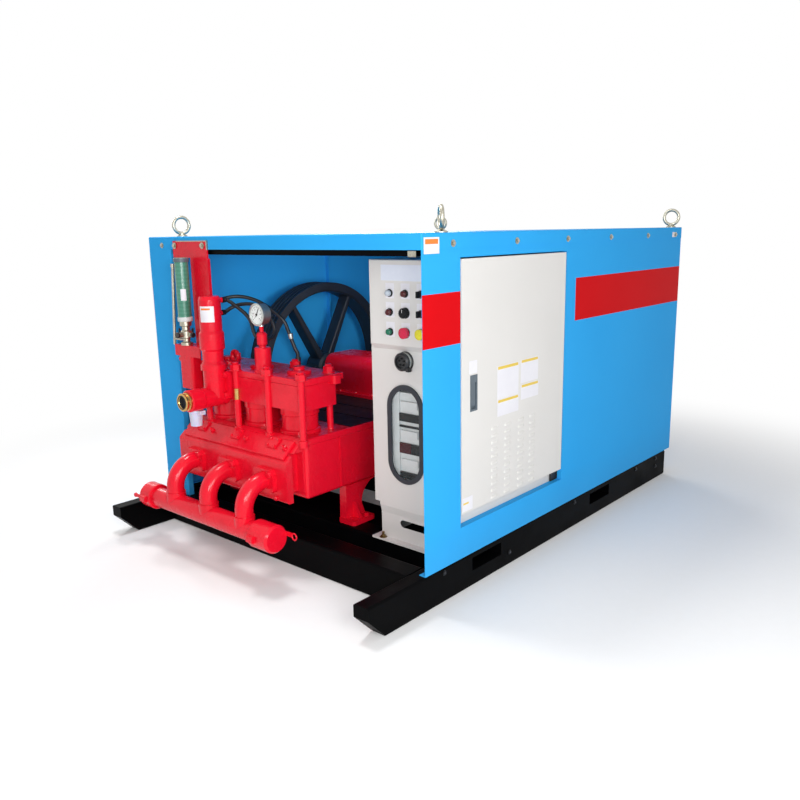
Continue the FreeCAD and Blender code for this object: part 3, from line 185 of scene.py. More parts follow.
# %% Where the band stops for the door's frame
on_right = put(tree, "Math", {0: axes["X"], 1: 0.0}, operation="GREATER_THAN")
by_door = put(tree, "Math", {0: axes["Y"], 1: (post_high[1] + jamb_high[1]) / 2,
                             2: (jamb_high[1] - post_high[1]) / 2}, operation="COMPARE")
door_frame = put(tree, "Math", {0: on_right, 1: by_door}, operation="MULTIPLY")
masked = put(tree, "Math", {0: outside, 1: door_frame}, operation="SUBTRACT", use_clamp=True)
band = put(tree, "Math", {0: in_height, 1: masked}, operation="MULTIPLY")
print("door frame from", round(post_high[1], 3), "to", round(jamb_high[1], 3), "m")

# %% Sky blue enamel with its band
fade = put(tree, "TexNoise", {"Vector": place, "Scale": per(450), "Detail": 4.0})
blue = put(tree, "Mix", {0: fade, 6: "#35A8EB", 7: "#2EA0E5"}, data_type="RGBA")
red = put(tree, "Mix", {0: fade, 6: "#D01018", 7: "#C60C14"}, data_type="RGBA")
paint = put(tree, "Mix", {0: band, 6: blue, 7: red}, data_type="RGBA")
# road dust clings to the lowest hand's breadth of the sheets
low_down = put(tree, "MapRange", {"Value": axes["Z"], "From Min": 0.135, "From Max": 0.30,
                                  "To Min": 0.18, "To Max": 0.0})
grime = put(tree, "Math", {0: low_down, 1: fade}, operation="MULTIPLY")
paint = put(tree, "Mix", {0: grime, 6: paint, 7: "#5A6068"}, data_type="RGBA")
# pressed sheet is never quite flat, and the paint on it has a fine orange peel
waves = put(tree, "TexNoise", {"Vector": place, "Scale": per(280), "Detail": 1.0})
sheet_bump = put(tree, "Bump", {"Height": waves, "Distance": 0.004, "Strength": 0.25})
peel = put(tree, "TexNoise", {"Vector": place, "Scale": per(5), "Detail": 2.0})
bump = put(tree, "Bump", {"Height": peel, "Distance": 0.0004, "Strength": 0.18,
                          "Normal": sheet_bump})
wire(shader, {"Base Color": paint, "Roughness": 0.38, "IOR": 1.5, "Normal": bump,
              "Specular IOR Level": 0.02})
print("made sky_blue_enamel_with_red_band")

# %% [markdown]
# ## The cabinet: cream powder coat
#
# Powder coat is sprayed on as dry resin powder and melted in an oven. It flows into a skin with
# a fine leather-like texture, about half a millimetre between its bumps. That is finer than a
# pixel here, so it is drawn at 1.5 mm, which is as coarse as it needs to be to soften the
# highlights in the render. Paints and plastics have much the same make-up, a colour that wanders
# slightly and a fine bump, so one function makes them from their sizes in millimetres.

# %% Cream powder coat


def mottled(name, colours, patch, gloss, grain, bumps, more):
    """A coat whose colour wanders over patches. patch and grain are (mm, detail) of two noises,
    bumps is (depth, strength), and gloss is a roughness, or a pair that it wanders between."""
    tree, shader, place = start(name)
    wander = put(tree, "TexNoise", {"Vector": place, "Scale": per(patch[0]), "Detail": patch[1]})
    colour = put(tree, "Mix", {0: wander, 6: colours[0], 7: colours[1]}, data_type="RGBA")
    if isinstance(gloss, tuple):
        gloss = put(tree, "MapRange", {"Value": wander, "To Min": gloss[0], "To Max": gloss[1]})
    skin = put(tree, "TexNoise", {"Vector": place, "Scale": per(grain[0]), "Detail": grain[1]})
    bump = put(tree, "Bump", {"Height": skin, "Distance": bumps[0], "Strength": bumps[1]})
    wire(shader, {"Base Color": colour, "Roughness": gloss, "Normal": bump, **more})
    print("made", name)


mottled("cream_powder_coat", ("#DAD8D5", "#D2D0CD"), (350, 5.0), 0.42, (1.5, 3.0),
        (0.0003, 0.25), {"IOR": 1.5, "Specular IOR Level": 0.3})

# %% [markdown]
# ## The pump: thick red enamel on cast iron
#
# The pump's castings come out of sand moulds with a rough skin, and are brushed with several
# thick coats of red. The paint fills the finest grain but leaves the larger hills and hollows of
# the sand, which glitter under a lamp. Two noises make that: a broad one of about 14 mm for the
# casting, and a finer one of 3 mm for the brushed enamel. Oil mist and dust darken the paint in
# patches, where it also shines less.

# %% Red enamel on castings
tree, shader, place = start("thick_red_enamel_on_cast_iron")
soil = put(tree, "TexNoise", {"Vector": place, "Scale": per(110), "Detail": 6.0,
                              "Roughness": 0.6})
soiled = put(tree, "MapRange", {"Value": soil, "From Min": 0.45, "From Max": 0.85,
                                "To Max": 0.45})
colour = put(tree, "Mix", {0: soiled, 6: "#E00F29", 7: "#AC0A1A"}, data_type="RGBA")
gloss = put(tree, "MapRange", {"Value": soil, "From Min": 0.35, "From Max": 0.8,
                               "To Min": 0.20, "To Max": 0.42})
sand = put(tree, "TexNoise", {"Vector": place, "Scale": per(14), "Detail": 4.0})
brush = put(tree, "TexNoise", {"Vector": place, "Scale": per(3), "Detail": 2.0})
rough_skin = put(tree, "Bump", {"Height": sand, "Distance": 0.0016, "Strength": 0.5})
bump = put(tree, "Bump", {"Height": brush, "Distance": 0.0004, "Strength": 0.3,
                          "Normal": rough_skin})
wire(shader, {"Base Color": colour, "Roughness": gloss, "Normal": bump, "IOR": 1.5,
              "Specular IOR Level": 0.12, "Coat Weight": 0.35, "Coat Roughness": 0.10,
              "Coat Normal": bump})
print("made thick_red_enamel_on_cast_iron")

# %% [markdown]
# ## Bare and plated metals
#
# Six metals show here. Zinc plate is dull and slightly yellow, and mottled by its crystals. The
# other five are turned or ground, which leaves fine rings round the axis: the ground shaft, the
# satin stainless of the gauge and the socket's band, the hose ends blacked in oil, the
# cabinet's bolts with their yellow passivation gone brown, and brass. Real rings are about a
# tenth of a millimetre apart, which is finer than a pixel here, so they are drawn at 1.2 to
# 2 mm. A metal's colour is its reflection, so the base colour is bright, except where the steel
# is blacked or brown, and the metallic value is 1.

# %% Zinc-plated steel
tree, shader, place = start("zinc_plated_steel")
spangle = put(tree, "TexVoronoi", {"Vector": place, "Scale": per(6)})
colour = put(tree, "Mix", {0: spangle, 6: "#C9C5B6", 7: "#9C9888"}, data_type="RGBA")
scuff = put(tree, "TexNoise", {"Vector": place, "Scale": per(12), "Detail": 5.0})
gloss = put(tree, "MapRange", {"Value": scuff, "To Min": 0.25, "To Max": 0.5})
bump = put(tree, "Bump", {"Height": scuff, "Distance": 0.0003, "Strength": 0.3})
wire(shader, {"Base Color": colour, "Metallic": 1.0, "Roughness": gloss, "Normal": bump})
print("made zinc_plated_steel")

# %% Turned steels and brass
WAVES_TO_RINGS = 6.28      # divided by this, each ridge and each groove is as wide as named
for name, light, dark, low, high, ring_mm in (
        ("ground_steel", "#B9BABB", "#8F9193", 0.22, 0.4, 1.2),
        ("satin_stainless_steel", "#D4D8D4", "#B4BAB5", 0.34, 0.48, 1.6),
        ("oil_blacked_steel", "#4A4B4E", "#2A2B2E", 0.3, 0.5, 1.4),
        ("yellow_passivated_steel", "#9A8256", "#5E4C30", 0.3, 0.5, 1.4),
        ("turned_brass", "#E0BE7C", "#B4894A", 0.16, 0.34, 2.0)):
    tree, shader, place = start(name)
    mark = put(tree, "TexNoise", {"Vector": place, "Scale": per(ring_mm * 6), "Detail": 5.0})
    colour = put(tree, "Mix", {0: mark, 6: light, 7: dark}, data_type="RGBA")
    gloss = put(tree, "MapRange", {"Value": mark, "To Min": low, "To Max": high})
    rings = put(tree, "TexWave", {"Vector": place, "Scale": per(ring_mm) / WAVES_TO_RINGS,
                                  "Distortion": 0.4}, bands_direction="Y")
    bump = put(tree, "Bump", {"Height": rings.outputs["Fac"], "Distance": 0.0001,
                              "Strength": 0.25})
    wire(shader, {"Base Color": colour, "Metallic": 1.0, "Roughness": gloss, "Normal": bump})
    print("made", name)

# %% [markdown]
# ## The flywheel, the pulley and the motor
#
# The flywheel is cast iron with thin blue-black paint, so the sand of the mould shows through
# more than on the pump. The motor has a grey machine paint, with dust on it. Both stand in the
# shade of the hood and only need a believable break-up of their highlights.

# %% Paints on the drive
mottled("blue_black_paint_on_cast_iron", ("#141A24", "#262C35"), (90, 7.0), (0.38, 0.62),
        (6, 3.0), (0.0010, 0.4), {"IOR": 1.5})
mottled("grey_machine_enamel", ("#6E7478", "#585C5E"), (90, 7.0), (0.35, 0.55),
        (5, 3.0), (0.0005, 0.4), {"IOR": 1.5})

# %% [markdown]
# ## Rubber and plastics
#
# Belts, hoses and the window gasket are black rubber: very dark, matt, with a fine dusty
# mottle. The mouldings are plastics. What tells them apart is how much they shine and how the
# tool was textured: nylon has a spark-eroded grain, while melamine is smooth and hard. The
# prints are thin vinyl or ink, nearly without grain. Real grain is too fine to show here, so
# none is drawn finer than 1.6 mm. Each row of the table is one material, with its colour, a
# second colour for the mottle, its roughness, its IOR, and the size and depth of its grain.
# Three of them need more: light sinks into the milky cup a little, and the breakers' black and
# dark red bars stand behind a pane, which takes most of the shine off them.

# %% Rubber, plastics and prints
FROM_PATCH_TO_GRAIN = 12   # the mottle is this many times coarser than the grain
MORE = {"milky_polyethylene": {"Subsurface Weight": 0.4, "Subsurface Scale": 0.01},
        "black_moulded_melamine": {"Specular IOR Level": 0.1},
        "dark_red_moulded_melamine": {"Specular IOR Level": 0.1}}
for name, colour_a, colour_b, rough, ior, grain_mm, depth in (
        ("v_belt_rubber", "#17181A", "#26262A", 0.75, 1.52, 2.5, 0.0004),
        ("extruded_gasket_rubber", "#20262D", "#2A3038", 0.6, 1.52, 3.0, 0.0002),
        ("hydraulic_hose_rubber", "#101216", "#1C1F26", 0.45, 1.52, 2.0, 0.0003),
        ("black_glass_filled_nylon", "#121417", "#1E2023", 0.42, 1.53, 1.6, 0.0003),
        ("grey_moulded_nylon", "#4C565F", "#5B6770", 0.45, 1.53, 1.6, 0.0002),
        ("pale_moulded_melamine", "#D5D9D9", "#C3C8C8", 0.4, 1.5, 2.0, 0.0001),
        ("black_moulded_melamine", "#17191B", "#232527", 0.3, 1.5, 2.0, 0.0001),
        ("dark_red_moulded_melamine", "#4A1018", "#380C12", 0.3, 1.5, 2.0, 0.0001),
        ("milky_polyethylene", "#CCD0E2", "#BABFD6", 0.35, 1.51, 6.0, 0.0003),
        ("white_vinyl_sticker", "#E4E3E8", "#DCDBE2", 0.4, 1.5, 3.0, 0.0001),
        ("yellow_vinyl_print", "#E2C650", "#D8BA42", 0.4, 1.5, 3.0, 0.0001),
        ("orange_vinyl_print", "#F08030", "#E47428", 0.4, 1.5, 3.0, 0.0001),
        ("pale_blue_anodised_plate", "#DEE3EE", "#D4DAE8", 0.3, 1.5, 2.0, 0.0001),
        ("white_dial_enamel", "#EEF2F0", "#E4E9E7", 0.3, 1.5, 3.0, 0.0001),
        # this black is also painted shade in the louvres' mouths and in the slot below the door
        ("black_print_and_painted_shade", "#101010", "#1C1C1C", 0.5, 1.5, 3.0, 0.0001)):
    mottled(name, (colour_a, colour_b), (grain_mm * FROM_PATCH_TO_GRAIN, 5.0), rough,
            (grain_mm, 2.0), (depth, 0.3), {"IOR": ior, **MORE.get(name, {})})

# %% [markdown]
# ## Clear parts
#
# The window is clear acrylic, the lubricant tube is green-tinted acrylic with oil behind it, and
# the lamps are coloured lenses. Truly refracting glass is slow and dark at few samples, and a
# flat pane hardly bends the view anyway, so the pane lets the view through by its alpha and
# keeps only the gloss of its surface. The lenses are solid colour with a clear coat, because a
# lamp that is off looks like coloured enamel under glass.

# %% Clear acrylic for the window and the gauge
tree, shader, place = start("clear_acrylic")
haze = put(tree, "TexNoise", {"Vector": place, "Scale": per(60), "Detail": 4.0})
veil = put(tree, "MapRange", {"Value": haze, "To Min": 0.01, "To Max": 0.03})
wire(shader, {"Base Color": "#DCE6E6", "Alpha": veil, "Roughness": 0.06, "IOR": 1.49,
              "Specular IOR Level": 0.06})
print("made clear_acrylic")

# %% Green tube, drawn with faint rings
tree, shader, place = start("green_tinted_acrylic")
drawn = put(tree, "TexWave", {"Vector": place, "Scale": per(9) / WAVES_TO_RINGS,
                              "Distortion": 1.5, "Detail": 2.0},
            bands_direction="Z").outputs["Fac"]
colour = put(tree, "Mix", {0: drawn, 6: "#3A7E68", 7: "#488B75"}, data_type="RGBA")
bump = put(tree, "Bump", {"Height": drawn, "Distance": 0.0003, "Strength": 0.25})
wire(shader, {"Base Color": colour, "Roughness": 0.3, "IOR": 1.49, "Coat Weight": 0.3,
              "Coat Roughness": 0.1, "Normal": bump})
print("made green_tinted_acrylic")

# %% Lamp lenses and button caps
LENS_CELL_MM = 3.0         # a lens is moulded with small cells that scatter its light
for name, colour_a, colour_b in (
        ("clear_lamp_lens", "#C8D2DC", "#9FAAB6"), ("dark_red_lamp_lens", "#5A1016", "#3A0A10"),
        ("green_button_cap", "#0F7A5A", "#0A5C44"), ("red_button_cap", "#DC1B48", "#B8123A"),
        ("yellow_lamp_lens", "#EDE23C", "#D8CC22")):
    tree, shader, place = start(name)
    cells = put(tree, "TexVoronoi", {"Vector": place, "Scale": per(LENS_CELL_MM)})
    colour = put(tree, "Mix", {0: cells, 6: colour_a, 7: colour_b}, data_type="RGBA")
    bump = put(tree, "Bump", {"Height": cells, "Distance": 0.0003, "Strength": 0.3})
    wire(shader, {"Base Color": colour, "Roughness": 0.25, "IOR": 1.49,
                  "Specular IOR Level": 0.2, "Coat Weight": 0.35, "Coat Roughness": 0.05,
                  "Normal": bump})
    print("made", name)

# %% [markdown]
# ## Put the finishes on the CAD pieces
#
# The imported record says which slot each piece belongs to, so one table from slot to finish
# dresses all of them. Their meshes stay as they are.

# %% Dress the CAD pieces
# the front roof rail is in the skid_black slot: its black is painted shade for the dark gap under
# the hood's front edge
SLOT_FINISH = {
    "skid_black": "gloss_black_enamel", "hood_blue": "sky_blue_enamel_with_red_band",
    "cabinet_cream": "cream_powder_coat", "pump_red": "thick_red_enamel_on_cast_iron",
    "zinc_steel": "zinc_plated_steel", "hinge_steel": "zinc_plated_steel",
    "brass": "turned_brass", "gauge_steel": "satin_stainless_steel",
    "shaft_steel": "ground_steel", "wheel_black": "blue_black_paint_on_cast_iron",
    "motor_grey": "grey_machine_enamel", "handle_grey": "grey_moulded_nylon",
    "belt_rubber": "v_belt_rubber", "gasket_rubber": "extruded_gasket_rubber",
    "clear_pane": "clear_acrylic", "breaker_plastic": "pale_moulded_melamine",
    "button_plastic": "black_moulded_melamine", "socket_black": "black_glass_filled_nylon",
    "cup_plastic": "milky_polyethylene", "hose_rubber": "hydraulic_hose_rubber",
    "tube_green": "green_tinted_acrylic",
}
for part in frame["record"]["subparts"]:
    surfaces = nodes[part["node"]].data.materials
    surfaces.clear()
    surfaces.append(bpy.data.materials[SLOT_FINISH[part["material_slot"]]])

# %% [markdown]
# ## Helpers for small parts
#
# Nearly every small part here is either turned, like a bolt or a lens, or cut from plate, like a
# label. So two builders are enough for most: one turns a profile about an axis, and with six
# steps it makes a hexagon; the other makes a plate with its edges slightly rounded, because no
# real edge is perfectly sharp and a rounded one catches a thin line of light. A third function
# makes a piece of the mesh, and two short forms serve the pieces that hold nothing else.

# %% Small-part builders
UP, FRONT = (0, 0, 1), (0, -1, 0)
ON_AXIS = 1e-7             # a smaller radius than this is a point on the axis
SHARP_DEG = 35             # edges sharper than this stay crisp


def turn(bm, profile, where, axis=UP, steps=32):
    """Turn (radius, height) points about an axis through a place. Six steps make a hexagon."""
    placing = (Matrix.Translation(where)
               @ Vector(axis).to_track_quat("Z", "Y").to_matrix().to_4x4())
    rings = []
    for radius, height in profile:
        count = steps if radius > ON_AXIS else 1
        rings.append([bm.verts.new(placing @ Vector((radius * math.cos(math.tau * k / steps),
                                                     radius * math.sin(math.tau * k / steps),
                                                     height)))
                      for k in range(count)])
    for low, high in zip(rings, rings[1:]):
        for k in range(steps):
            ring = [low[k % len(low)], low[(k + 1) % len(low)],
                    high[(k + 1) % len(high)], high[k % len(high)]]
            bm.faces.new(list(dict.fromkeys(ring)))


def plate(bm, low, high, edge=0.0004, placing=Matrix.Identity(4)):
    """A plate between two corners, with rounded edges."""
    low, high = Vector(low), Vector(high)
    made = bmesh.ops.create_cube(bm, size=1.0, matrix=placing
                                 @ Matrix.Translation((low + high) / 2)
                                 @ Matrix.Diagonal((*(high - low), 1.0)))
    edges = list(dict.fromkeys(e for v in made["verts"] for e in v.link_edges))
    bmesh.ops.bevel(bm, geom=edges, offset=edge, segments=2, affect="EDGES")


def piece(name, bm, finishes, body="base"):
    """Turn a bmesh into a piece with its finishes, which rides on a body."""
    bmesh.ops.recalc_face_normals(bm, faces=bm.faces)
    mesh = bpy.data.meshes.new(name)
    bm.to_mesh(mesh)
    bm.free()
    for face in mesh.polygons:
        face.use_smooth = True
    mesh.set_sharp_from_angle(angle=math.radians(SHARP_DEG))
    for finish in finishes:
        mesh.materials.append(bpy.data.materials[finish])
    made = bpy.data.objects.new(name, mesh)
    bpy.context.scene.collection.objects.link(made)
    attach(made, body)
    print(name, len(mesh.polygons), "faces")


def plates(name, finish, boxes, edge=0.0004, body="base"):
    """A piece made only of plates, each given as x0, x1, y0, y1, z0, z1."""
    bm = bmesh.new()
    for x0, x1, y0, y1, z0, z1 in boxes:
        plate(bm, (x0, y0, z0), (x1, y1, z1), edge)
    piece(name, bm, [finish], body)


def turned(name, finish, slot, *turnings):
    """A piece made only of turned parts: each has a profile, a place, an axis and steps."""
    bm = bmesh.new()
    for turning in turnings:
        turn(bm, *turning)
    piece(name, bm, [finish])


print("five builders ready")

# %% [markdown]
# ## Bolts
#
# A hexagon bolt head is a short six-sided prism whose corners are turned off by a chamfer, with
# a round washer under it. Both are turned profiles here. All the bolts of one kind go into one
# mesh, which keeps the scene light and easy to read.

# %% Bolt heads on the hood and the skid


def bolt_head(bm, where, axis, flats, washer=True, height=None):
    """A chamfered hexagon head with its washer. flats is the width across its flats."""
    corner = flats / math.sqrt(3)
    tall = height or 0.62 * flats
    base = 0.0
    if washer:
        base = 0.0018
        turn(bm, [(0, 0), (flats * 0.95, 0), (flats * 0.95, base), (0, base)], where, axis, 28)
    turn(bm, [(0, base), (corner, base), (corner, tall * 0.82), (corner * 0.84, tall), (0, tall)],
         where, axis, 6)


roof_low, roof_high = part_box("roof_panel")
HALF_W = roof_high[0]
RIM_Z = 1.353
bm = bmesh.new()
for y in (-0.791, -0.376, 0.026, 0.431, 0.841, 1.190):
    for side in (-1, 1):
        bolt_head(bm, (side * HALF_W, y, RIM_Z), (side, 0, 0), 0.014)
for x in (-0.62, -0.21, 0.21, 0.62):
    bolt_head(bm, (x, roof_high[1], RIM_Z), (0, 1, 0), 0.014)
bolt_head(bm, (-0.728, roof_low[1], 1.352), FRONT, 0.013)
piece("roof_rim_bolts", bm, ["zinc_plated_steel"])

bm = bmesh.new()
for y, z in ((-0.853, 0.121), (0.156, 0.121), (0.827, 0.121), (1.083, 0.121), (1.083, 0.076),
             (-0.403, 0.056)):
    for side in (-1, 1):
        bolt_head(bm, (side * HALF_W, y, z), (side, 0, 0), 0.011)
piece("skid_bolts", bm, ["oil_blacked_steel"])

# %% [markdown]
# ## Bolts on the pump
#
# The pump is bolted together as heavily as it is cast. Its crankcase cover, bearing housing,
# riser flanges, tee flange and feet all have hexagon heads, painted over with the rest. The heads
# stand on the CAD's flanges and on the round bosses that the CAD gives the flange bolts.

# %% Bolts of the crankcase cover and the bearing
cover_low, cover_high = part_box("crankcase_cover")
COVER_TOP = 0.568 + 0.016  # the frame's top and the cover's flange on it
IN_FLANGE = 0.010          # from the flange's edge to its bolts
bm = bmesh.new()
for k in range(6):
    y = cover_low[1] + 0.04 + k * (cover_high[1] - cover_low[1] - 0.07) / 5
    for x in (cover_low[0] + IN_FLANGE, cover_high[0] - IN_FLANGE):
        bolt_head(bm, (x, y, COVER_TOP), UP, 0.013)
for k in range(6):
    x = cover_low[0] + 0.03 + k * (cover_high[0] - cover_low[0] - 0.06) / 5
    bolt_head(bm, (x, cover_low[1] + IN_FLANGE, COVER_TOP), UP, 0.013)

CRANK_Y, CRANK_Z, BEARING_RING = -0.021, 0.655, 0.083
bearing_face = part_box("shaft_bearing_housing")[1][0] - 0.020
for k in range(8):
    angle = math.tau * (k + 0.5) / 8
    y, z = CRANK_Y + BEARING_RING * math.cos(angle), CRANK_Z + BEARING_RING * math.sin(angle)
    if z > 0.60:           # the lower ones would stand inside the frame
        bolt_head(bm, (bearing_face, y, z), (-1, 0, 0), 0.012, washer=False)
print("crankcase and bearing bolts so far:", len(bm.faces), "faces")

# %% Bolts of the head and the feet, and a cover strip
CYL_XS = (-0.420, -0.175, 0.070)
RISER_Z, LOWER_FRONT = 0.397, -1.066
TEE_X, TEE_Z, TEE_FLANGE_Y = -0.303, 0.698, -1.000
for x in CYL_XS:
    for side in (-1, 1):
        bolt_head(bm, (x + side * 0.050, LOWER_FRONT - 0.020, RISER_Z + side * 0.034), FRONT,
                  0.024, washer=False, height=0.0155)
for side in (-1, 1):
    for z in (TEE_Z + 0.006, 0.796):
        bolt_head(bm, (TEE_X + side * 0.050, TEE_FLANGE_Y, z), FRONT, 0.026, washer=False,
                  height=0.0185)
for x in (-0.525, -0.300, -0.055, 0.130):
    bolt_head(bm, (x, LOWER_FRONT, 0.327), FRONT, 0.018, washer=False)
for x in (-0.5955, 0.2455):
    for y in (-0.653, 0.034):
        bolt_head(bm, (x, y, 0.158), UP, 0.018)
# the strip covers the joint in the frame's right side
plate(bm, (0.2095, -0.774, 0.318), (0.2140, -0.762, 0.5385), 0.0015)
piece("pump_bolts", bm, ["thick_red_enamel_on_cast_iron"])

# %% [markdown]
# ## The cradle behind the pump's head, in painted shade
#
# Between the cylinders and the crankcase the real frame is an open cradle, where the plungers run
# and oil and slurry collect, and it lies in deep shade between the head and the crankcase, so it
# looks nearly black. The CAD keeps the frame solid there. A nearly black oily steel tray laid over
# it, with two drain ribs, gives that dark floor: its black is partly oil and mostly painted shade.
# Its mottle comes from one noise, which drives the colour, the gloss and the bump together.

# %% Cradle tray of oil and painted shade
tree, shader, place = start("oily_steel_with_painted_shade")
oil_and_shade_mottle = put(tree, "TexNoise", {"Vector": place, "Scale": per(70), "Detail": 7.0})
# the near-black colour is painted shade for the deep cradle, mottled by oil
colour = put(tree, "Mix", {0: oil_and_shade_mottle, 6: "#0C0708", 7: "#241014"}, data_type="RGBA")
gloss = put(tree, "MapRange", {"Value": oil_and_shade_mottle, "To Min": 0.4, "To Max": 0.75})
bump = put(tree, "Bump", {"Height": oil_and_shade_mottle, "Distance": 0.0015, "Strength": 0.5})
wire(shader, {"Base Color": colour, "Roughness": gloss, "IOR": 1.5, "Specular IOR Level": 0.2,
              "Normal": bump})

FRAME_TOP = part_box("power_frame")[1][2]
TRAY_LEFT, TRAY_RIGHT = -0.558, 0.209
TRAY_FRONT, TRAY_BACK = -0.700, cover_low[1] - 0.002
bm = bmesh.new()
plate(bm, (TRAY_LEFT, TRAY_FRONT, FRAME_TOP - 0.0003),
      (TRAY_RIGHT, TRAY_BACK, FRAME_TOP + 0.002), 0.0006)
for y in (TRAY_FRONT + 0.15, TRAY_FRONT + 0.30):
    plate(bm, (TRAY_LEFT + 0.02, y - 0.004, FRAME_TOP + 0.0015),
          (TRAY_RIGHT - 0.02, y + 0.004, FRAME_TOP + 0.005), 0.001)
piece("cradle_shade_tray", bm, ["oily_steel_with_painted_shade"])

# %% [markdown]
# ## Covers on the pump's sloping front
#
# The slope below the valve cylinders carries a small bolted cover and a grease point for each
# plunger. They are plates tilted to the slope, so a placing matrix is made once from the
# slope's angle and each plate is built flat in it.

# %% Plunger covers on the slope
SLOPE_TOP_Y, SLOPE_TOP_Z = -0.966, 0.568
SLOPE_FOOT_Z = 0.480
SKIRT, COVER_FACE = 0.0125, 0.0210   # how far the pad and the cover on it stand off the slope
slope_angle = math.atan2(SLOPE_TOP_Z - SLOPE_FOOT_Z, SLOPE_TOP_Y - LOWER_FRONT)
bm = bmesh.new()
for x in CYL_XS:
    placing = (Matrix.Translation((x, LOWER_FRONT, SLOPE_FOOT_Z))
               @ Matrix.Rotation(slope_angle, 4, "X"))
    plate(bm, (-0.031, 0.052, SKIRT), (0.031, 0.104, COVER_FACE), 0.002, placing)
    off_slope = placing.to_3x3() @ Vector(UP)
    for u, v in ((-0.021, 0.062), (0.021, 0.062), (0.021, 0.094), (-0.021, 0.094)):
        bolt_head(bm, placing @ Vector((u, v, COVER_FACE)), off_slope, 0.009, washer=False)
    turn(bm, [(0.0, 0.0), (0.011, 0.0), (0.011, 0.010), (0.006, 0.012), (0.006, 0.020),
              (0.004, 0.024), (0, 0.024)], placing @ Vector((0.076, 0.066, SKIRT)), off_slope, 16)
piece("plunger_covers", bm, ["thick_red_enamel_on_cast_iron"])

# %% [markdown]
# ## Front lever of the left cap
#
# The manifold's end caps are clamped by cam levers, one on each side of a cap. The CAD has the
# rear levers. This is the front lever of the left cap, which stands out past the cap in the
# photograph: a flat arm with a round thumb end, turned like a button.

# %% Cap lever
CAP_END_X, CAP_SIDE_Y, CAP_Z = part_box("manifold_caps")[0][0] + 0.062, -1.245, 0.218
bm = bmesh.new()
plate(bm, (CAP_END_X - 0.026, CAP_SIDE_Y - 0.004, CAP_Z - 0.008),
      (CAP_END_X + 0.030, CAP_SIDE_Y + 0.004, CAP_Z + 0.008), 0.0015)
turn(bm, [(0, -0.0065), (0.0085, -0.0060), (0.0105, -0.003), (0.0105, 0.003), (0.0085, 0.0060),
          (0, 0.0065)], (CAP_END_X - 0.030, CAP_SIDE_Y, CAP_Z), FRONT, 28)
piece("cap_lever", bm, ["thick_red_enamel_on_cast_iron"])

# %% [markdown]
# ## Threads
#
# The long studs end in rolled threads just above their nuts. An M27 thread has a pitch of 3 mm.
# It is turned here as plain rings, because at this size nobody can tell rings from a helix, and
# rings are far simpler to make.

# %% Threaded stud ends
THREAD_PITCH, NUT_TOP, WASHER_Z = 0.003, 0.8415, 0.816
STUD_TOPS = [(round(x, 4), y) for y, first in ((-0.978, 0.2121), (-0.770, 0.15575))
             for x in (first - 0.212 * k for k in range(4))]
bm = bmesh.new()
for x, y in STUD_TOPS:
    profile = [(0.0142, 0.0)]
    for k in range(3):
        profile += [(0.0155, 0.0011 + THREAD_PITCH * k), (0.0142, 0.0026 + THREAD_PITCH * k)]
    profile += [(0.0125, 0.0105), (0, 0.0105)]
    turn(bm, profile, (x, y, NUT_TOP), UP, 24)
    turn(bm, [(0.015, 0), (0.028, 0), (0.028, 0.003), (0.015, 0.003)], (x, y, WASHER_Z), UP, 28)
piece("stud_threads", bm, ["thick_red_enamel_on_cast_iron"])

# %% [markdown]
# ## The outlet union
#
# A brass union points out of the tee, and a black rubber seal sits in its mouth. Its thread is
# bright where the hose nut has polished it. The thread is turned round the CAD's union, and the
# seal is a ring inside its bore. A black rubber disc behind it closes the bore where it goes on:
# it is painted shade for the bore's dark inside.

# %% Outlet thread, seal and the disc of painted shade
union_low, union_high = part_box("outlet_union")
thread = [(0.0355, 0.0)]
for k in range(2):
    thread += [(0.0378, 0.0012 + 0.0031 * k), (0.0358, 0.0027 + 0.0031 * k)]
turned("union_thread", "turned_brass", "brass",
       (thread, (TEE_X, union_high[1] - 0.0092, TEE_Z), FRONT, 48),
       ([(0.0385, 0.0), (0.0396, 0.0008), (0.0396, 0.0052), (0.0385, 0.0060)],
        (TEE_X, union_high[1] - 0.0200, TEE_Z), FRONT, 48))
turned("union_seal_and_shade_disc", "v_belt_rubber", "belt_rubber",
       ([(0.0268, 0.0), (0.0302, 0.0), (0.0308, 0.0012), (0.0300, 0.0026), (0.0268, 0.0026),
         (0.0268, 0.0)], (TEE_X, union_low[1] + 0.0015, TEE_Z), FRONT, 48),
       # the disc closes the bore, black as painted shade
       ([(0.0258, 0.0), (0.0258, -0.014), (0.0, -0.014)],
        (TEE_X, union_low[1] + 0.005, TEE_Z), FRONT, 48))

# %% [markdown]
# ## Gauge dial
#
# The dial is white enamel with black marks, under a clear glass. Each mark is its own thin
# strip: eleven long ones and the short ones between them, through three quarters of a circle,
# as on any pressure gauge. The needle turns about a small hub.

# %% Dial, marks, needle and glass
GAUGE_X, GAUGE_Z, DIAL_Y = -0.076, 1.064, -0.9522
SCALE_START, SCALE_SWEEP, NEEDLE_DEG = 225, 270, 62
turned("gauge_dial", "white_dial_enamel", "gauge_steel",
       ([(0, 0), (0.0396, 0), (0.0396, 0.0008), (0, 0.0008)], (GAUGE_X, DIAL_Y, GAUGE_Z),
        FRONT, 48))


def on_dial(degrees, off):
    """The placing that points local X from the dial's centre outwards at an angle."""
    return (Matrix.Translation((GAUGE_X, DIAL_Y - off, GAUGE_Z))
            @ Matrix.Rotation(-math.radians(degrees), 4, "Y"))


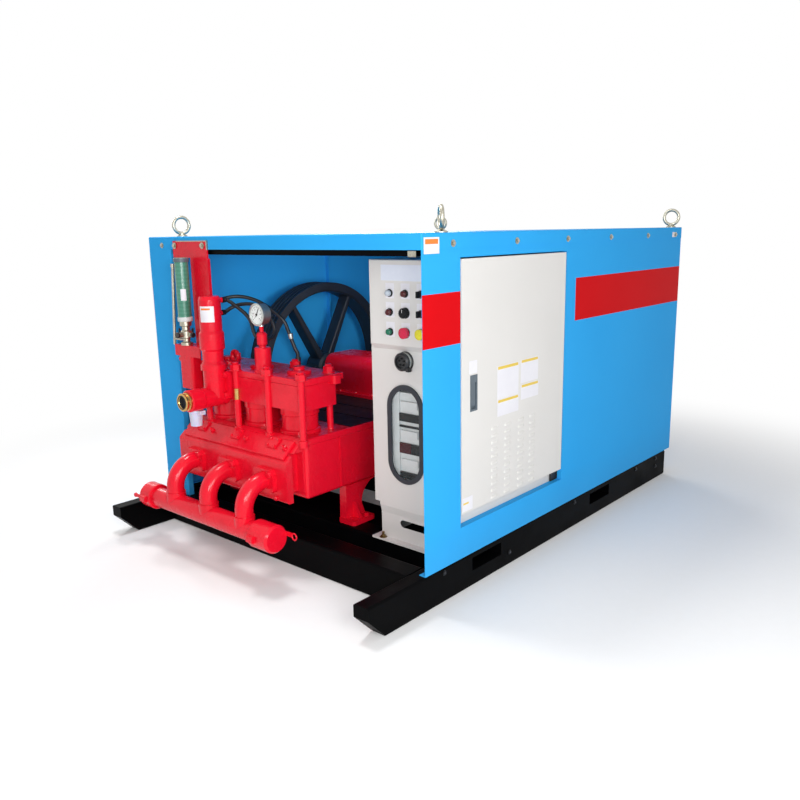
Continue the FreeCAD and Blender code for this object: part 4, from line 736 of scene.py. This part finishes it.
bm = bmesh.new()
for k in range(51):
    inner, half = (0.028, 0.0008) if k % 5 == 0 else (0.0315, 0.0004)
    plate(bm, (inner, -0.0002, -half), (0.035, 0.0002, half), 0.0001,
          on_dial(SCALE_START - SCALE_SWEEP * k / 50, 0.0010))
plate(bm, (-0.013, -0.0004, -0.0018), (0.030, 0.0004, 0.0018), 0.0002,
      on_dial(NEEDLE_DEG, 0.0026))
turn(bm, [(0, 0), (0.0055, 0), (0.0050, 0.0020), (0, 0.0024)],
     (GAUGE_X, DIAL_Y - 0.0022, GAUGE_Z), FRONT, 24)
piece("gauge_marks", bm, ["black_print_and_painted_shade"])
turned("gauge_glass", "clear_acrylic", "clear_pane",
       ([(0, 0), (0.0400, 0), (0.0400, 0.0012), (0.026, 0.0020), (0, 0.0024)],
        (GAUGE_X, DIAL_Y - 0.0042, GAUGE_Z), FRONT, 48))

# %% [markdown]
# ## Numbers on the dial
#
# A dial needs its numbers. They are plain text objects from 0 to 50, set round the dial inside
# the marks, and turned so that they stand upright for a reader in front.

# %% Dial numbers
NUMBER_RING = 0.0228
for k in range(0, 6):
    angle = math.radians(SCALE_START - SCALE_SWEEP * k / 5)
    words = bpy.data.curves.new("dial_number_%d" % k, "FONT")
    words.body = str(k * 10)
    words.size = 0.0072
    words.extrude = 0.0001
    words.align_x, words.align_y = "CENTER", "CENTER"
    number = bpy.data.objects.new("dial_number_%d" % k, words)
    number.location = (GAUGE_X + NUMBER_RING * math.cos(angle), DIAL_Y - 0.0010,
                       GAUGE_Z + NUMBER_RING * math.sin(angle))
    number.rotation_euler = (math.radians(90), 0, 0)
    words.materials.append(bpy.data.materials["black_print_and_painted_shade"])
    bpy.context.scene.collection.objects.link(number)
    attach(number, "base")
print("dial numbers made")

# %% [markdown]
# ## Hose ends
#
# Each hose leaves the relief valve through a swivel nut and a ferrule, crimped over the last
# stretch of the hose. They are steel blacked in oil, so they hardly stand out from the rubber.
# The longest hose was joined once, and its joint is a short bright sleeve.

# %% Swivel nuts, ferrules and the joint
RELIEF_Y, RELIEF_TOP, PORT_REACH = -1.026, 1.138, 0.060
bm = bmesh.new()
for heading, below in ((110, 0.020), (78, 0.020), (90, 0.076)):
    way = Vector((math.cos(math.radians(heading)), math.sin(math.radians(heading)), 0.0))
    tip = Vector((TEE_X, RELIEF_Y, RELIEF_TOP - below)) + way * PORT_REACH
    turn(bm, [(0.0083, -0.002), (0.0138, -0.002), (0.0138, 0.0065), (0.0120, 0.0085),
              (0.0083, 0.0085)], tip, way, 6)
    turn(bm, [(0.0083, 0.008), (0.0108, 0.009), (0.0112, 0.011), (0.0112, 0.017),
              (0.0100, 0.019), (0.0083, 0.0195)], tip, way, 24)
piece("hose_ends", bm, ["oil_blacked_steel"])
turned("hose_joint", "satin_stainless_steel", "gauge_steel",
       ([(0.0083, 0.0), (0.0110, 0.001), (0.0112, 0.003), (0.0112, 0.021), (0.0110, 0.023),
         (0.0083, 0.024)], (-0.0955, -0.7515, 0.938), (-0.05, -0.13, 1.0), 24))

# %% [markdown]
# ## Control panel: legend plates and name plate
#
# Each control has a white legend plate behind it, and a pale plate runs above them all. The
# real ones carry words, which this model leaves off, so they are bare plates with a rounded
# edge.

# %% Legend plates
FACE_Y = -0.793
BUTTON_XS = (0.537, 0.615, 0.693)
BUTTON_ZS = (1.167, 1.094, 1.018)
plates("legend_plates", "white_vinyl_sticker",
       [(x - 0.022, x + 0.022, FACE_Y - 0.0008, FACE_Y, z - 0.020, z + 0.038)
        for x in BUTTON_XS for z in BUTTON_ZS], 0.0003)
plates("panel_name_plate", "pale_blue_anodised_plate",
       [(0.492, 0.722, FACE_Y - 0.0010, FACE_Y, 1.214, 1.274)])

# %% [markdown]
# ## Control panel: lamps, keys and knobs
#
# The CAD gives nine bezels with plain caps. Over each cap comes the part that the hand or eye
# meets: domed lenses for the lamps, a knurled potentiometer knob with a white line, selector
# switches with a raised bar, a green key, and the red mushroom of the stop key.

# %% Lamps and keys
BEZEL = 0.0068             # how far the CAD's bezel stands off the panel


def cap_over(bm, x, z, radius, out, dome=0.004):
    """A domed cap that covers a CAD cap."""
    turn(bm, [(0.0, BEZEL), (radius, BEZEL), (radius, out), (radius * 0.85, out + dome * 0.55),
              (radius * 0.5, out + dome), (0, out + dome * 1.15)], (x, FACE_Y, z), FRONT, 36)


for name, column, row, finish, radius, out in (
        ("power_lamp", 0, 0, "clear_lamp_lens", 0.0115, 0.0178),
        ("fault_lamp", 1, 0, "dark_red_lamp_lens", 0.0115, 0.0178),
        ("heat_lamp", 0, 1, "dark_red_lamp_lens", 0.0115, 0.0178),
        ("start_key", 0, 2, "green_button_cap", 0.0115, 0.0170),
        ("stop_key", 1, 2, "red_button_cap", 0.0215, 0.0200),
        ("run_lamp", 2, 2, "yellow_lamp_lens", 0.0200, 0.0190)):
    bm = bmesh.new()
    cap_over(bm, BUTTON_XS[column], BUTTON_ZS[row], radius, out)
    piece(name, bm, [finish])

# %% Selector switches and the knurled knob
KNOB_X, KNOB_Z, KNURLS = BUTTON_XS[1], BUTTON_ZS[1], 18
bm = bmesh.new()
for column, row in ((2, 0), (2, 1)):
    x, z = BUTTON_XS[column], BUTTON_ZS[row]
    cap_over(bm, x, z, 0.0118, 0.0165, 0.002)
    plate(bm, (x - 0.0045, FACE_Y - 0.0300, z - 0.0125),
          (x + 0.0045, FACE_Y - 0.0165, z + 0.0125), 0.0012)
turn(bm, [(0, BEZEL), (0.0185, BEZEL), (0.0185, 0.020), (0.0165, 0.0225), (0, 0.0230)],
     (KNOB_X, FACE_Y, KNOB_Z), FRONT, 36)
for k in range(KNURLS):
    angle = math.tau * k / KNURLS
    turn(bm, [(0, 0.007), (0.0016, 0.007), (0.0016, 0.0205), (0, 0.0215)],
         (KNOB_X + 0.0183 * math.cos(angle), FACE_Y, KNOB_Z + 0.0183 * math.sin(angle)),
         FRONT, 8)
piece("selector_knobs", bm, ["black_moulded_melamine"])
plates("knob_line", "white_vinyl_sticker",
       [(KNOB_X - 0.0008, KNOB_X + 0.0008, FACE_Y - 0.0236, FACE_Y - 0.0228,
         KNOB_Z + 0.002, KNOB_Z + 0.015)], 0.0002)

# %% [markdown]
# ## Power socket
#
# The socket is black nylon with a plated clamping band behind its mouth, and a hinged cap. The
# band is a thin sleeve round the CAD's barrel. Dark contact holes show in the mouth.

# %% Socket band, contacts and cap hinge
socket_low, socket_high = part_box("power_socket")
SOCKET_X = (socket_low[0] + socket_high[0]) / 2
SOCKET_Z = (socket_low[2] + socket_high[2]) / 2
SOCKET_ROOT, CONTACTS, CONTACT_RING = socket_high[1], 5, 0.0140
turned("socket_band", "satin_stainless_steel", "gauge_steel",
       ([(0.0325, 0.0060), (0.0352, 0.0068), (0.0358, 0.0084), (0.0358, 0.0160),
         (0.0350, 0.0174), (0.0325, 0.0178)], (SOCKET_X, SOCKET_ROOT, SOCKET_Z), FRONT, 48))
bm = bmesh.new()
for k in range(CONTACTS):
    angle = math.tau * k / CONTACTS + math.pi / 2
    turn(bm, [(0, 0), (0.0042, 0), (0.0042, 0.007), (0.0026, 0.007), (0.0026, 0.002), (0, 0.002)],
         (SOCKET_X + CONTACT_RING * math.cos(angle), SOCKET_ROOT - 0.0258,
          SOCKET_Z + CONTACT_RING * math.sin(angle)), FRONT, 16)
plate(bm, (SOCKET_X + 0.022, SOCKET_ROOT - 0.032, SOCKET_Z - 0.036),
      (SOCKET_X + 0.040, SOCKET_ROOT - 0.012, SOCKET_Z - 0.020), 0.002)
piece("socket_contacts", bm, ["black_glass_filled_nylon"])

# %% [markdown]
# ## Behind the window
#
# Three breakers stand on a back plate, each a pale moulded body with a dark bar and a toggle.
# The bars are what the eye finds first through the pane, so each is its own strip: black above,
# dark red with a black end in the middle, and black again below. A pale cover hides the wires
# down their left side.

# %% Breaker bars and the wire cover
GEAR_Y = -0.771 + 0.022
BAR_FRONT, BAR_BACK = GEAR_Y - 0.008, GEAR_Y + 0.001
plates("breaker_bars", "black_moulded_melamine",
       [(x0, 0.664, BAR_FRONT, BAR_BACK, z0, z1) for x0, z0, z1 in (
           (0.540, 0.656, 0.689), (0.540, 0.632, 0.640), (0.540, 0.420, 0.446),
           (0.600, 0.524, 0.567))], 0.001)
plates("breaker_red_bar", "dark_red_moulded_melamine",
       [(0.540, 0.600, BAR_FRONT, BAR_BACK, 0.524, 0.567)], 0.001)
plates("wire_cover", "pale_moulded_melamine",
       [(0.499, 0.541, BAR_FRONT, BAR_BACK, 0.425, 0.790)], 0.001)

# %% [markdown]
# ## Louvres in the door
#
# The door's louvres are pressed: a die cuts a slit and pushes the sheet above it outwards, so each
# is a small hood that is open below. The mesh is a grid whose height follows a sine from top to
# mouth and fades towards both ends. The mouth is closed by a black strip, which is painted shade
# for the dark inside of the cabinet.

# %% Pressed louvres
DOOR_X = 0.838
LOUVRE_W, LOUVRE_H, LOUVRE_OUT, LOUVRE_STEP = 0.046, 0.013, 0.0042, 0.0285
ACROSS, DOWN = 12, 6       # the grid of one louvre
SUNK = 0.0003              # its edge lies just inside the door's skin


def louvre(bm, y, z):
    """One pressed louvre, with its mouth, black as painted shade, as the last row of the grid."""
    grid = []
    for i in range(ACROSS + 1):
        u = i / ACROSS
        fade_out = (1 - abs(2 * u - 1) ** 4) ** 0.5
        grid.append([bm.verts.new((DOOR_X - SUNK + LOUVRE_OUT * fade_out
                                   * math.sin(math.pi / 2 * j / DOWN),
                                   y + LOUVRE_W * (u - 0.5), z + LOUVRE_H * (0.5 - j / DOWN)))
                     for j in range(DOWN + 1)])
        grid[-1].append(bm.verts.new((DOOR_X - SUNK, y + LOUVRE_W * (u - 0.5),
                                      z - LOUVRE_H * 0.5)))
    for left, right in zip(grid, grid[1:]):
        for j in range(DOWN + 1):
            face = bm.faces.new((left[j], left[j + 1], right[j + 1], right[j]))
            # the last row is the mouth, black as painted shade
            face.material_index = 1 if j == DOWN else 0


bm = bmesh.new()
for y in (-0.519, -0.425, -0.324, -0.236):
    for k in range(11):
        louvre(bm, y, 0.338 + LOUVRE_STEP * k)
bmesh.ops.remove_doubles(bm, verts=bm.verts, dist=1e-6)
piece("door_louvres", bm, ["cream_powder_coat", "black_print_and_painted_shade"], "door")

# %% [markdown]
# ## Plain stickers
#
# The door and the hood carry a few printed stickers. This model leaves their print off: a white
# vinyl rectangle with a plain coloured head stripe stands for each, in the real place and size.

# %% Stickers on the door
plates("door_stickers", "white_vinyl_sticker",
       [(DOOR_X - 0.0001, DOOR_X + 0.0005, y0, y1, z0, z1) for y0, y1, z0, z1 in (
           (-0.502, -0.348, 0.735, 0.869), (-0.500, -0.346, 0.664, 0.733),
           (-0.331, -0.196, 0.774, 0.872), (-0.328, -0.192, 0.704, 0.768),
           (-0.733, -0.668, 0.328, 0.383), (-0.690, -0.640, 0.866, 0.915))], 0.0002, "door")
plates("door_sticker_heads", "yellow_vinyl_print",
       [(DOOR_X, DOOR_X + 0.0008, y0 + 0.004, y1 - 0.004, z0 - 0.002, z1 - 0.002)
        for y0, y1, z0, z1 in (
           (-0.502, -0.348, 0.857, 0.869), (-0.500, -0.346, 0.722, 0.733),
           (-0.331, -0.196, 0.861, 0.872), (-0.328, -0.192, 0.757, 0.768),
           (-0.733, -0.690, 0.358, 0.365))], 0.0002, "door")

# %% Stickers on the hood
plates("hood_stickers", "white_vinyl_sticker",
       [(HALF_W - 0.0001, HALF_W + 0.0005, y0, y1, z0, z1) for y0, y1, z0, z1 in (
           (-0.955, -0.870, 1.320, 1.376), (1.150, 1.205, 1.340, 1.366))], 0.0002)
plates("hood_sticker_head", "orange_vinyl_print",
       [(HALF_W, HALF_W + 0.0008, -0.948, -0.877, 1.353, 1.370)], 0.0002)

# %% [markdown]
# ## Stickers on round parts
#
# A sticker on a pipe has to bend with it. It is a strip of a cylinder, a little wider than the
# pipe, over part of a turn.

# %% Wrapped stickers
WRAP_STEPS, VINYL = 14, 0.0006


def wrap(bm, centre, radius, z0, z1, from_deg, to_deg, material=0):
    """A strip round a standing pipe, from one bearing to another."""
    ring = []
    for k in range(WRAP_STEPS + 1):
        a = math.radians(from_deg + (to_deg - from_deg) * k / WRAP_STEPS)
        ring.append([bm.verts.new((centre[0] + r * math.cos(a), centre[1] + r * math.sin(a), z))
                     for r, z in ((radius - VINYL, z0), (radius, z0), (radius, z1),
                                  (radius - VINYL, z1))])
    for left, right in zip(ring, ring[1:]):
        for j in range(3):
            face = bm.faces.new((left[j], right[j], right[j + 1], left[j + 1]))
            face.material_index = material
    for end in (ring[0], ring[-1]):
        bm.faces.new(end).material_index = material


TUBE_X, TUBE_Y = -0.501, -1.021
bm = bmesh.new()
wrap(bm, (TEE_X, RELIEF_Y), 0.0486, 1.030, 1.098, 267, 345)
wrap(bm, (TEE_X, RELIEF_Y), 0.0490, 1.082, 1.090, 275, 325, material=1)
wrap(bm, (TUBE_X, TUBE_Y), 0.0306, 1.112, 1.163, 303, 350)
piece("wrapped_stickers", bm, ["white_vinyl_sticker", "orange_vinyl_print"])

# %% [markdown]
# ## Fittings on the lubricant tube and its bracket
#
# The tube is held in a grey cap above and stands in a white cap below, and two small drain cocks
# with black keys branch off under it, with a third key in front. Two zinc bolts hold the bracket's
# head to the hood. A folded strip of bare zinc over the head's top edge and down its right end is
# painted highlight: it stands for the bright line of light along those edges.

# %% Caps and keys of the tube
turned("tube_lower_cap", "pale_moulded_melamine", "cup_plastic",
       ([(0.0300, 0.0), (0.0330, 0.0008), (0.0334, 0.003), (0.0334, 0.0175), (0.0326, 0.0195),
         (0.0300, 0.0200)], (TUBE_X, TUBE_Y, 1.018), UP, 40))
turned("tube_upper_cap", "grey_moulded_nylon", "handle_grey",
       ([(0.0300, 0.0), (0.0330, 0.001), (0.0334, 0.003), (0.0334, 0.0165), (0.0320, 0.0180),
         (0.0300, 0.0185)], (TUBE_X, TUBE_Y, 1.2805), UP, 40))
bm = bmesh.new()
for x, z, side in ((TUBE_X - 0.046, 0.950, -1), (TUBE_X + 0.044, 0.958, 1)):
    turn(bm, [(0, 0), (0.0115, 0), (0.0125, 0.002), (0.0125, 0.009), (0.0110, 0.011), (0, 0.0115)],
         (x, TUBE_Y, z), (side, 0, 0), 24)
    plate(bm, (x + side * 0.006 - 0.004, TUBE_Y - 0.004, z - 0.004),
          (x + side * 0.006 + 0.004, TUBE_Y + 0.004, z + 0.032), 0.0015)
turn(bm, [(0, 0), (0.0125, 0), (0.0135, 0.002), (0.0135, 0.010), (0.0120, 0.012), (0, 0.0125)],
     (TUBE_X, TUBE_Y - 0.040, 0.958), FRONT, 24)
piece("cock_keys", bm, ["black_glass_filled_nylon"])

# %% Bolts of the bracket, and its strip of painted highlight
BRACKET_RIGHT, _, BRACKET_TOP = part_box("tube_bracket")[1]
BRACKET_FRONT = -0.966 - 0.008
HIGHLIGHT_STRIP_FRONT, HIGHLIGHT_STRIP_BACK, HIGHLIGHT_STRIP_TOP = BRACKET_FRONT - 0.0012, -0.9655, BRACKET_TOP + 0.0012
bm = bmesh.new()
for x in (-0.614, -0.402):
    bolt_head(bm, (x, BRACKET_FRONT, 1.351), FRONT, 0.015)
# the bare strip over the top edge and the right end is painted highlight for the edges' bright
# line
plate(bm, (-0.600, HIGHLIGHT_STRIP_FRONT, BRACKET_TOP - 0.003),
      (BRACKET_RIGHT + 0.001, HIGHLIGHT_STRIP_BACK, HIGHLIGHT_STRIP_TOP), 0.0005)
plate(bm, (BRACKET_RIGHT - 0.001, HIGHLIGHT_STRIP_FRONT, 1.332),
      (BRACKET_RIGHT + 0.0035, HIGHLIGHT_STRIP_BACK, HIGHLIGHT_STRIP_TOP), 0.0005)
piece("bracket_bolts_and_highlight_strip", bm, ["zinc_plated_steel"])

# %% [markdown]
# ## Small steel parts round the cabinet
#
# The cabinet's foot is bolted down with yellow-passivated bolts, and a bare angle ties the end of
# the rail under the hood's front edge to the corner post. That rail is black as painted shade for
# the dark gap under the hood's front edge.

# %% Anchor bolts and rail angle
FOOT_TOP = 0.148
bm = bmesh.new()
for x, y in ((0.459, -0.777), (0.770, -0.779), (0.425, -0.500), (0.425, -0.130)):
    bolt_head(bm, (x, y, FOOT_TOP), UP, 0.017)
    turn(bm, [(0.0048, 0.010), (0.0052, 0.012), (0.0052, 0.0225), (0.0040, 0.024), (0, 0.024)],
         (x, y, FOOT_TOP), UP, 20)
piece("cabinet_anchor_bolts", bm, ["yellow_passivated_steel"])
plates("rail_angle", "zinc_plated_steel",
       [(0.768, 0.805, -0.9560, -0.9538, 1.309, 1.331),
        (0.768, 0.805, -0.9560, -0.9300, 1.309, 1.3115)], 0.0006)

# %% [markdown]
# ## The door's seal
#
# A foamed rubber seal is glued inside the door's tray, a little in from its edge. It only shows
# with the door open. It is four rounded strips, and rides on the door.

# %% Door seal
SEAL_Y0, SEAL_Y1, SEAL_Z0, SEAL_Z1, SEAL_W = -0.714, -0.032, 0.346, 1.270, 0.012
plates("door_seal", "extruded_gasket_rubber",
       [(0.8240, 0.8362, y0, y1, z0, z1) for y0, y1, z0, z1 in (
           (SEAL_Y0, SEAL_Y1, SEAL_Z0, SEAL_Z0 + SEAL_W),
           (SEAL_Y0, SEAL_Y1, SEAL_Z1 - SEAL_W, SEAL_Z1),
           (SEAL_Y0, SEAL_Y0 + SEAL_W, SEAL_Z0, SEAL_Z1),
           (SEAL_Y1 - SEAL_W, SEAL_Y1, SEAL_Z0, SEAL_Z1))], 0.004, "door")

# %% [markdown]
# ## The slot below the door
#
# Below the door's rear corner the hood's frame has a slot, where the sheet is cut away for the
# cabinet's foot, and the space behind it lies in shade. A folded black liner closes it as painted
# shade: a back plate with a lip on three sides.

# %% Slot liner in painted shade
SLOT_Y0, SLOT_Y1, SLOT_Z0, SLOT_Z1 = -0.032, 0.0265, 0.2685, 0.319
SLOT_X, LIP = 0.8115, 0.002
plates("slot_shade_liner", "black_print_and_painted_shade",
       [(SLOT_X - LIP, SLOT_X, SLOT_Y0, SLOT_Y1, SLOT_Z0, SLOT_Z1)]
       + [(SLOT_X - 0.001, SLOT_X + 0.004, y0, y1, z0, z1) for y0, y1, z0, z1 in (
           (SLOT_Y0, SLOT_Y0 + LIP, SLOT_Z0, SLOT_Z1), (SLOT_Y1 - LIP, SLOT_Y1, SLOT_Z0, SLOT_Z1),
           (SLOT_Y0, SLOT_Y1, SLOT_Z0, SLOT_Z0 + LIP))])

# %% [markdown]
# ## A brass sleeve on a stud
#
# One front stud carries a short brass sleeve where a locking plate once sat. It is turned, with
# a collar at each end.

# %% Brass sleeve
turned("stud_sleeve", "turned_brass", "brass",
       ([(0.0142, 0.0), (0.0165, 0.001), (0.0165, 0.006), (0.0155, 0.007), (0.0155, 0.043),
         (0.0165, 0.044), (0.0165, 0.049), (0.0142, 0.050)], (-0.2119, -0.978, 0.687), UP, 32))

# %% [markdown]
# ## Light
#
# The photograph was lit from near the camera, so the near corner is bright and both walls fall
# off from it, while the open bay is still readable. A dim pale world fills the shadows, and six
# soft lamps shape the rest. One stands beside the camera and one by the long side: they do most
# of the work. A small one hangs inside the bay, one hangs over the roof's front edge, one
# lights the rear so that the set reads from behind, and a last one far to the left draws a thin
# highlight along the manifold and the risers. The camera, mirrors and clear parts see pure white
# behind the set, through the light path.

# %% World
WORLD_LIGHT = 0.42


def sees_backdrop(tree):
    """1 for rays that should see a white backdrop: from the camera, a gloss or a clear part."""
    rays = put(tree, "LightPath").outputs
    seen = put(tree, "Math", {0: rays["Is Camera Ray"], 1: rays["Is Transmission Ray"]},
               operation="MAXIMUM")
    return put(tree, "Math", {0: seen, 1: rays["Is Glossy Ray"]}, operation="MAXIMUM")


world = bpy.data.worlds.new("studio")
bpy.context.scene.world = world
world.use_nodes = True
tree = world.node_tree
strength = put(tree, "MapRange", {"Value": sees_backdrop(tree), "To Min": WORLD_LIGHT,
                                  "To Max": 1.0})
wire(tree.nodes["Background"], {"Color": (1, 1, 1, 1), "Strength": strength})
print("world at", WORLD_LIGHT)

# %% Soft lamps
for name, where, aim, size, watts in (
        ("camera_softbox", (2.0, -3.0, 1.3), (0.0, -0.7, 0.6), 0.9, 31),
        ("side_softbox", (3.6, -2.4, 1.7), (0.7, -0.1, 0.7), 1.8, 74),
        ("bay_fill", (0.2, -0.2, 1.14), (-0.84, 0.4, 0.9), 0.36, 3.5),
        ("top_softbox", (-0.5, -1.0, 3.6), (-0.1, -0.9, 0.6), 0.8, 45),
        ("back_softbox", (-3.4, 3.6, 2.6), (0.0, 0.3, 0.7), 2.0, 70),
        ("rim_softbox", (-2.55, -0.50, 1.95), (-0.2, -1.2, 0.25), 0.5, 20)):
    data = bpy.data.lights.new(name, "AREA")
    data.shape = "DISK"
    data.size, data.energy = size, watts
    lamp = bpy.data.objects.new(name, data)
    lamp.location = where
    lamp.rotation_euler = (Vector(aim) - Vector(where)).to_track_quat("-Z", "Y").to_euler()
    lamp.visible_camera = False
    bpy.context.scene.collection.objects.link(lamp)
    print(name, watts, "W")

# %% [markdown]
# ## Floor
#
# The floor is a plain pale sheet. Far from the set it turns into the same white as the world,
# so that no horizon shows, and near the set it stays a real surface and keeps the shadow.

# %% Pale floor
tree, shader, place = start("pale_studio_floor")
grain = put(tree, "TexNoise", {"Vector": place, "Scale": per(40), "Detail": 4.0})
colour = put(tree, "Mix", {0: grain, 6: "#F6F6F6", 7: "#F3F3F3"}, data_type="RGBA")
wire(shader, {"Base Color": colour, "Roughness": 0.9, "Specular IOR Level": 0.1})
distance = put(tree, "VectorMath", {0: place}, operation="LENGTH")
far = put(tree, "MapRange", {"Value": distance, "From Min": 1.6, "From Max": 3.4,
                             "To Min": 0.05}, interpolation_type="SMOOTHSTEP")
share = put(tree, "Math", {0: sees_backdrop(tree), 1: far}, operation="MULTIPLY")
white = put(tree, "Emission", {"Color": (1, 1, 1, 1), "Strength": 1.0})
blend = put(tree, "MixShader", {0: share, 1: shader, 2: white})
wire(tree.nodes["Material Output"], {"Surface": blend})

REACH = 30.0
floor_mesh = bpy.data.meshes.new("floor")
floor_mesh.from_pydata([(-REACH, -REACH, 0), (REACH, -REACH, 0), (REACH, REACH, 0),
                        (-REACH, REACH, 0)], [], [(0, 1, 2, 3)])
floor_mesh.materials.append(bpy.data.materials["pale_studio_floor"])
floor = bpy.data.objects.new("floor", floor_mesh)
bpy.context.scene.collection.objects.link(floor)
bpy.context.scene.view_settings.view_transform = "Standard"
print("floor made")
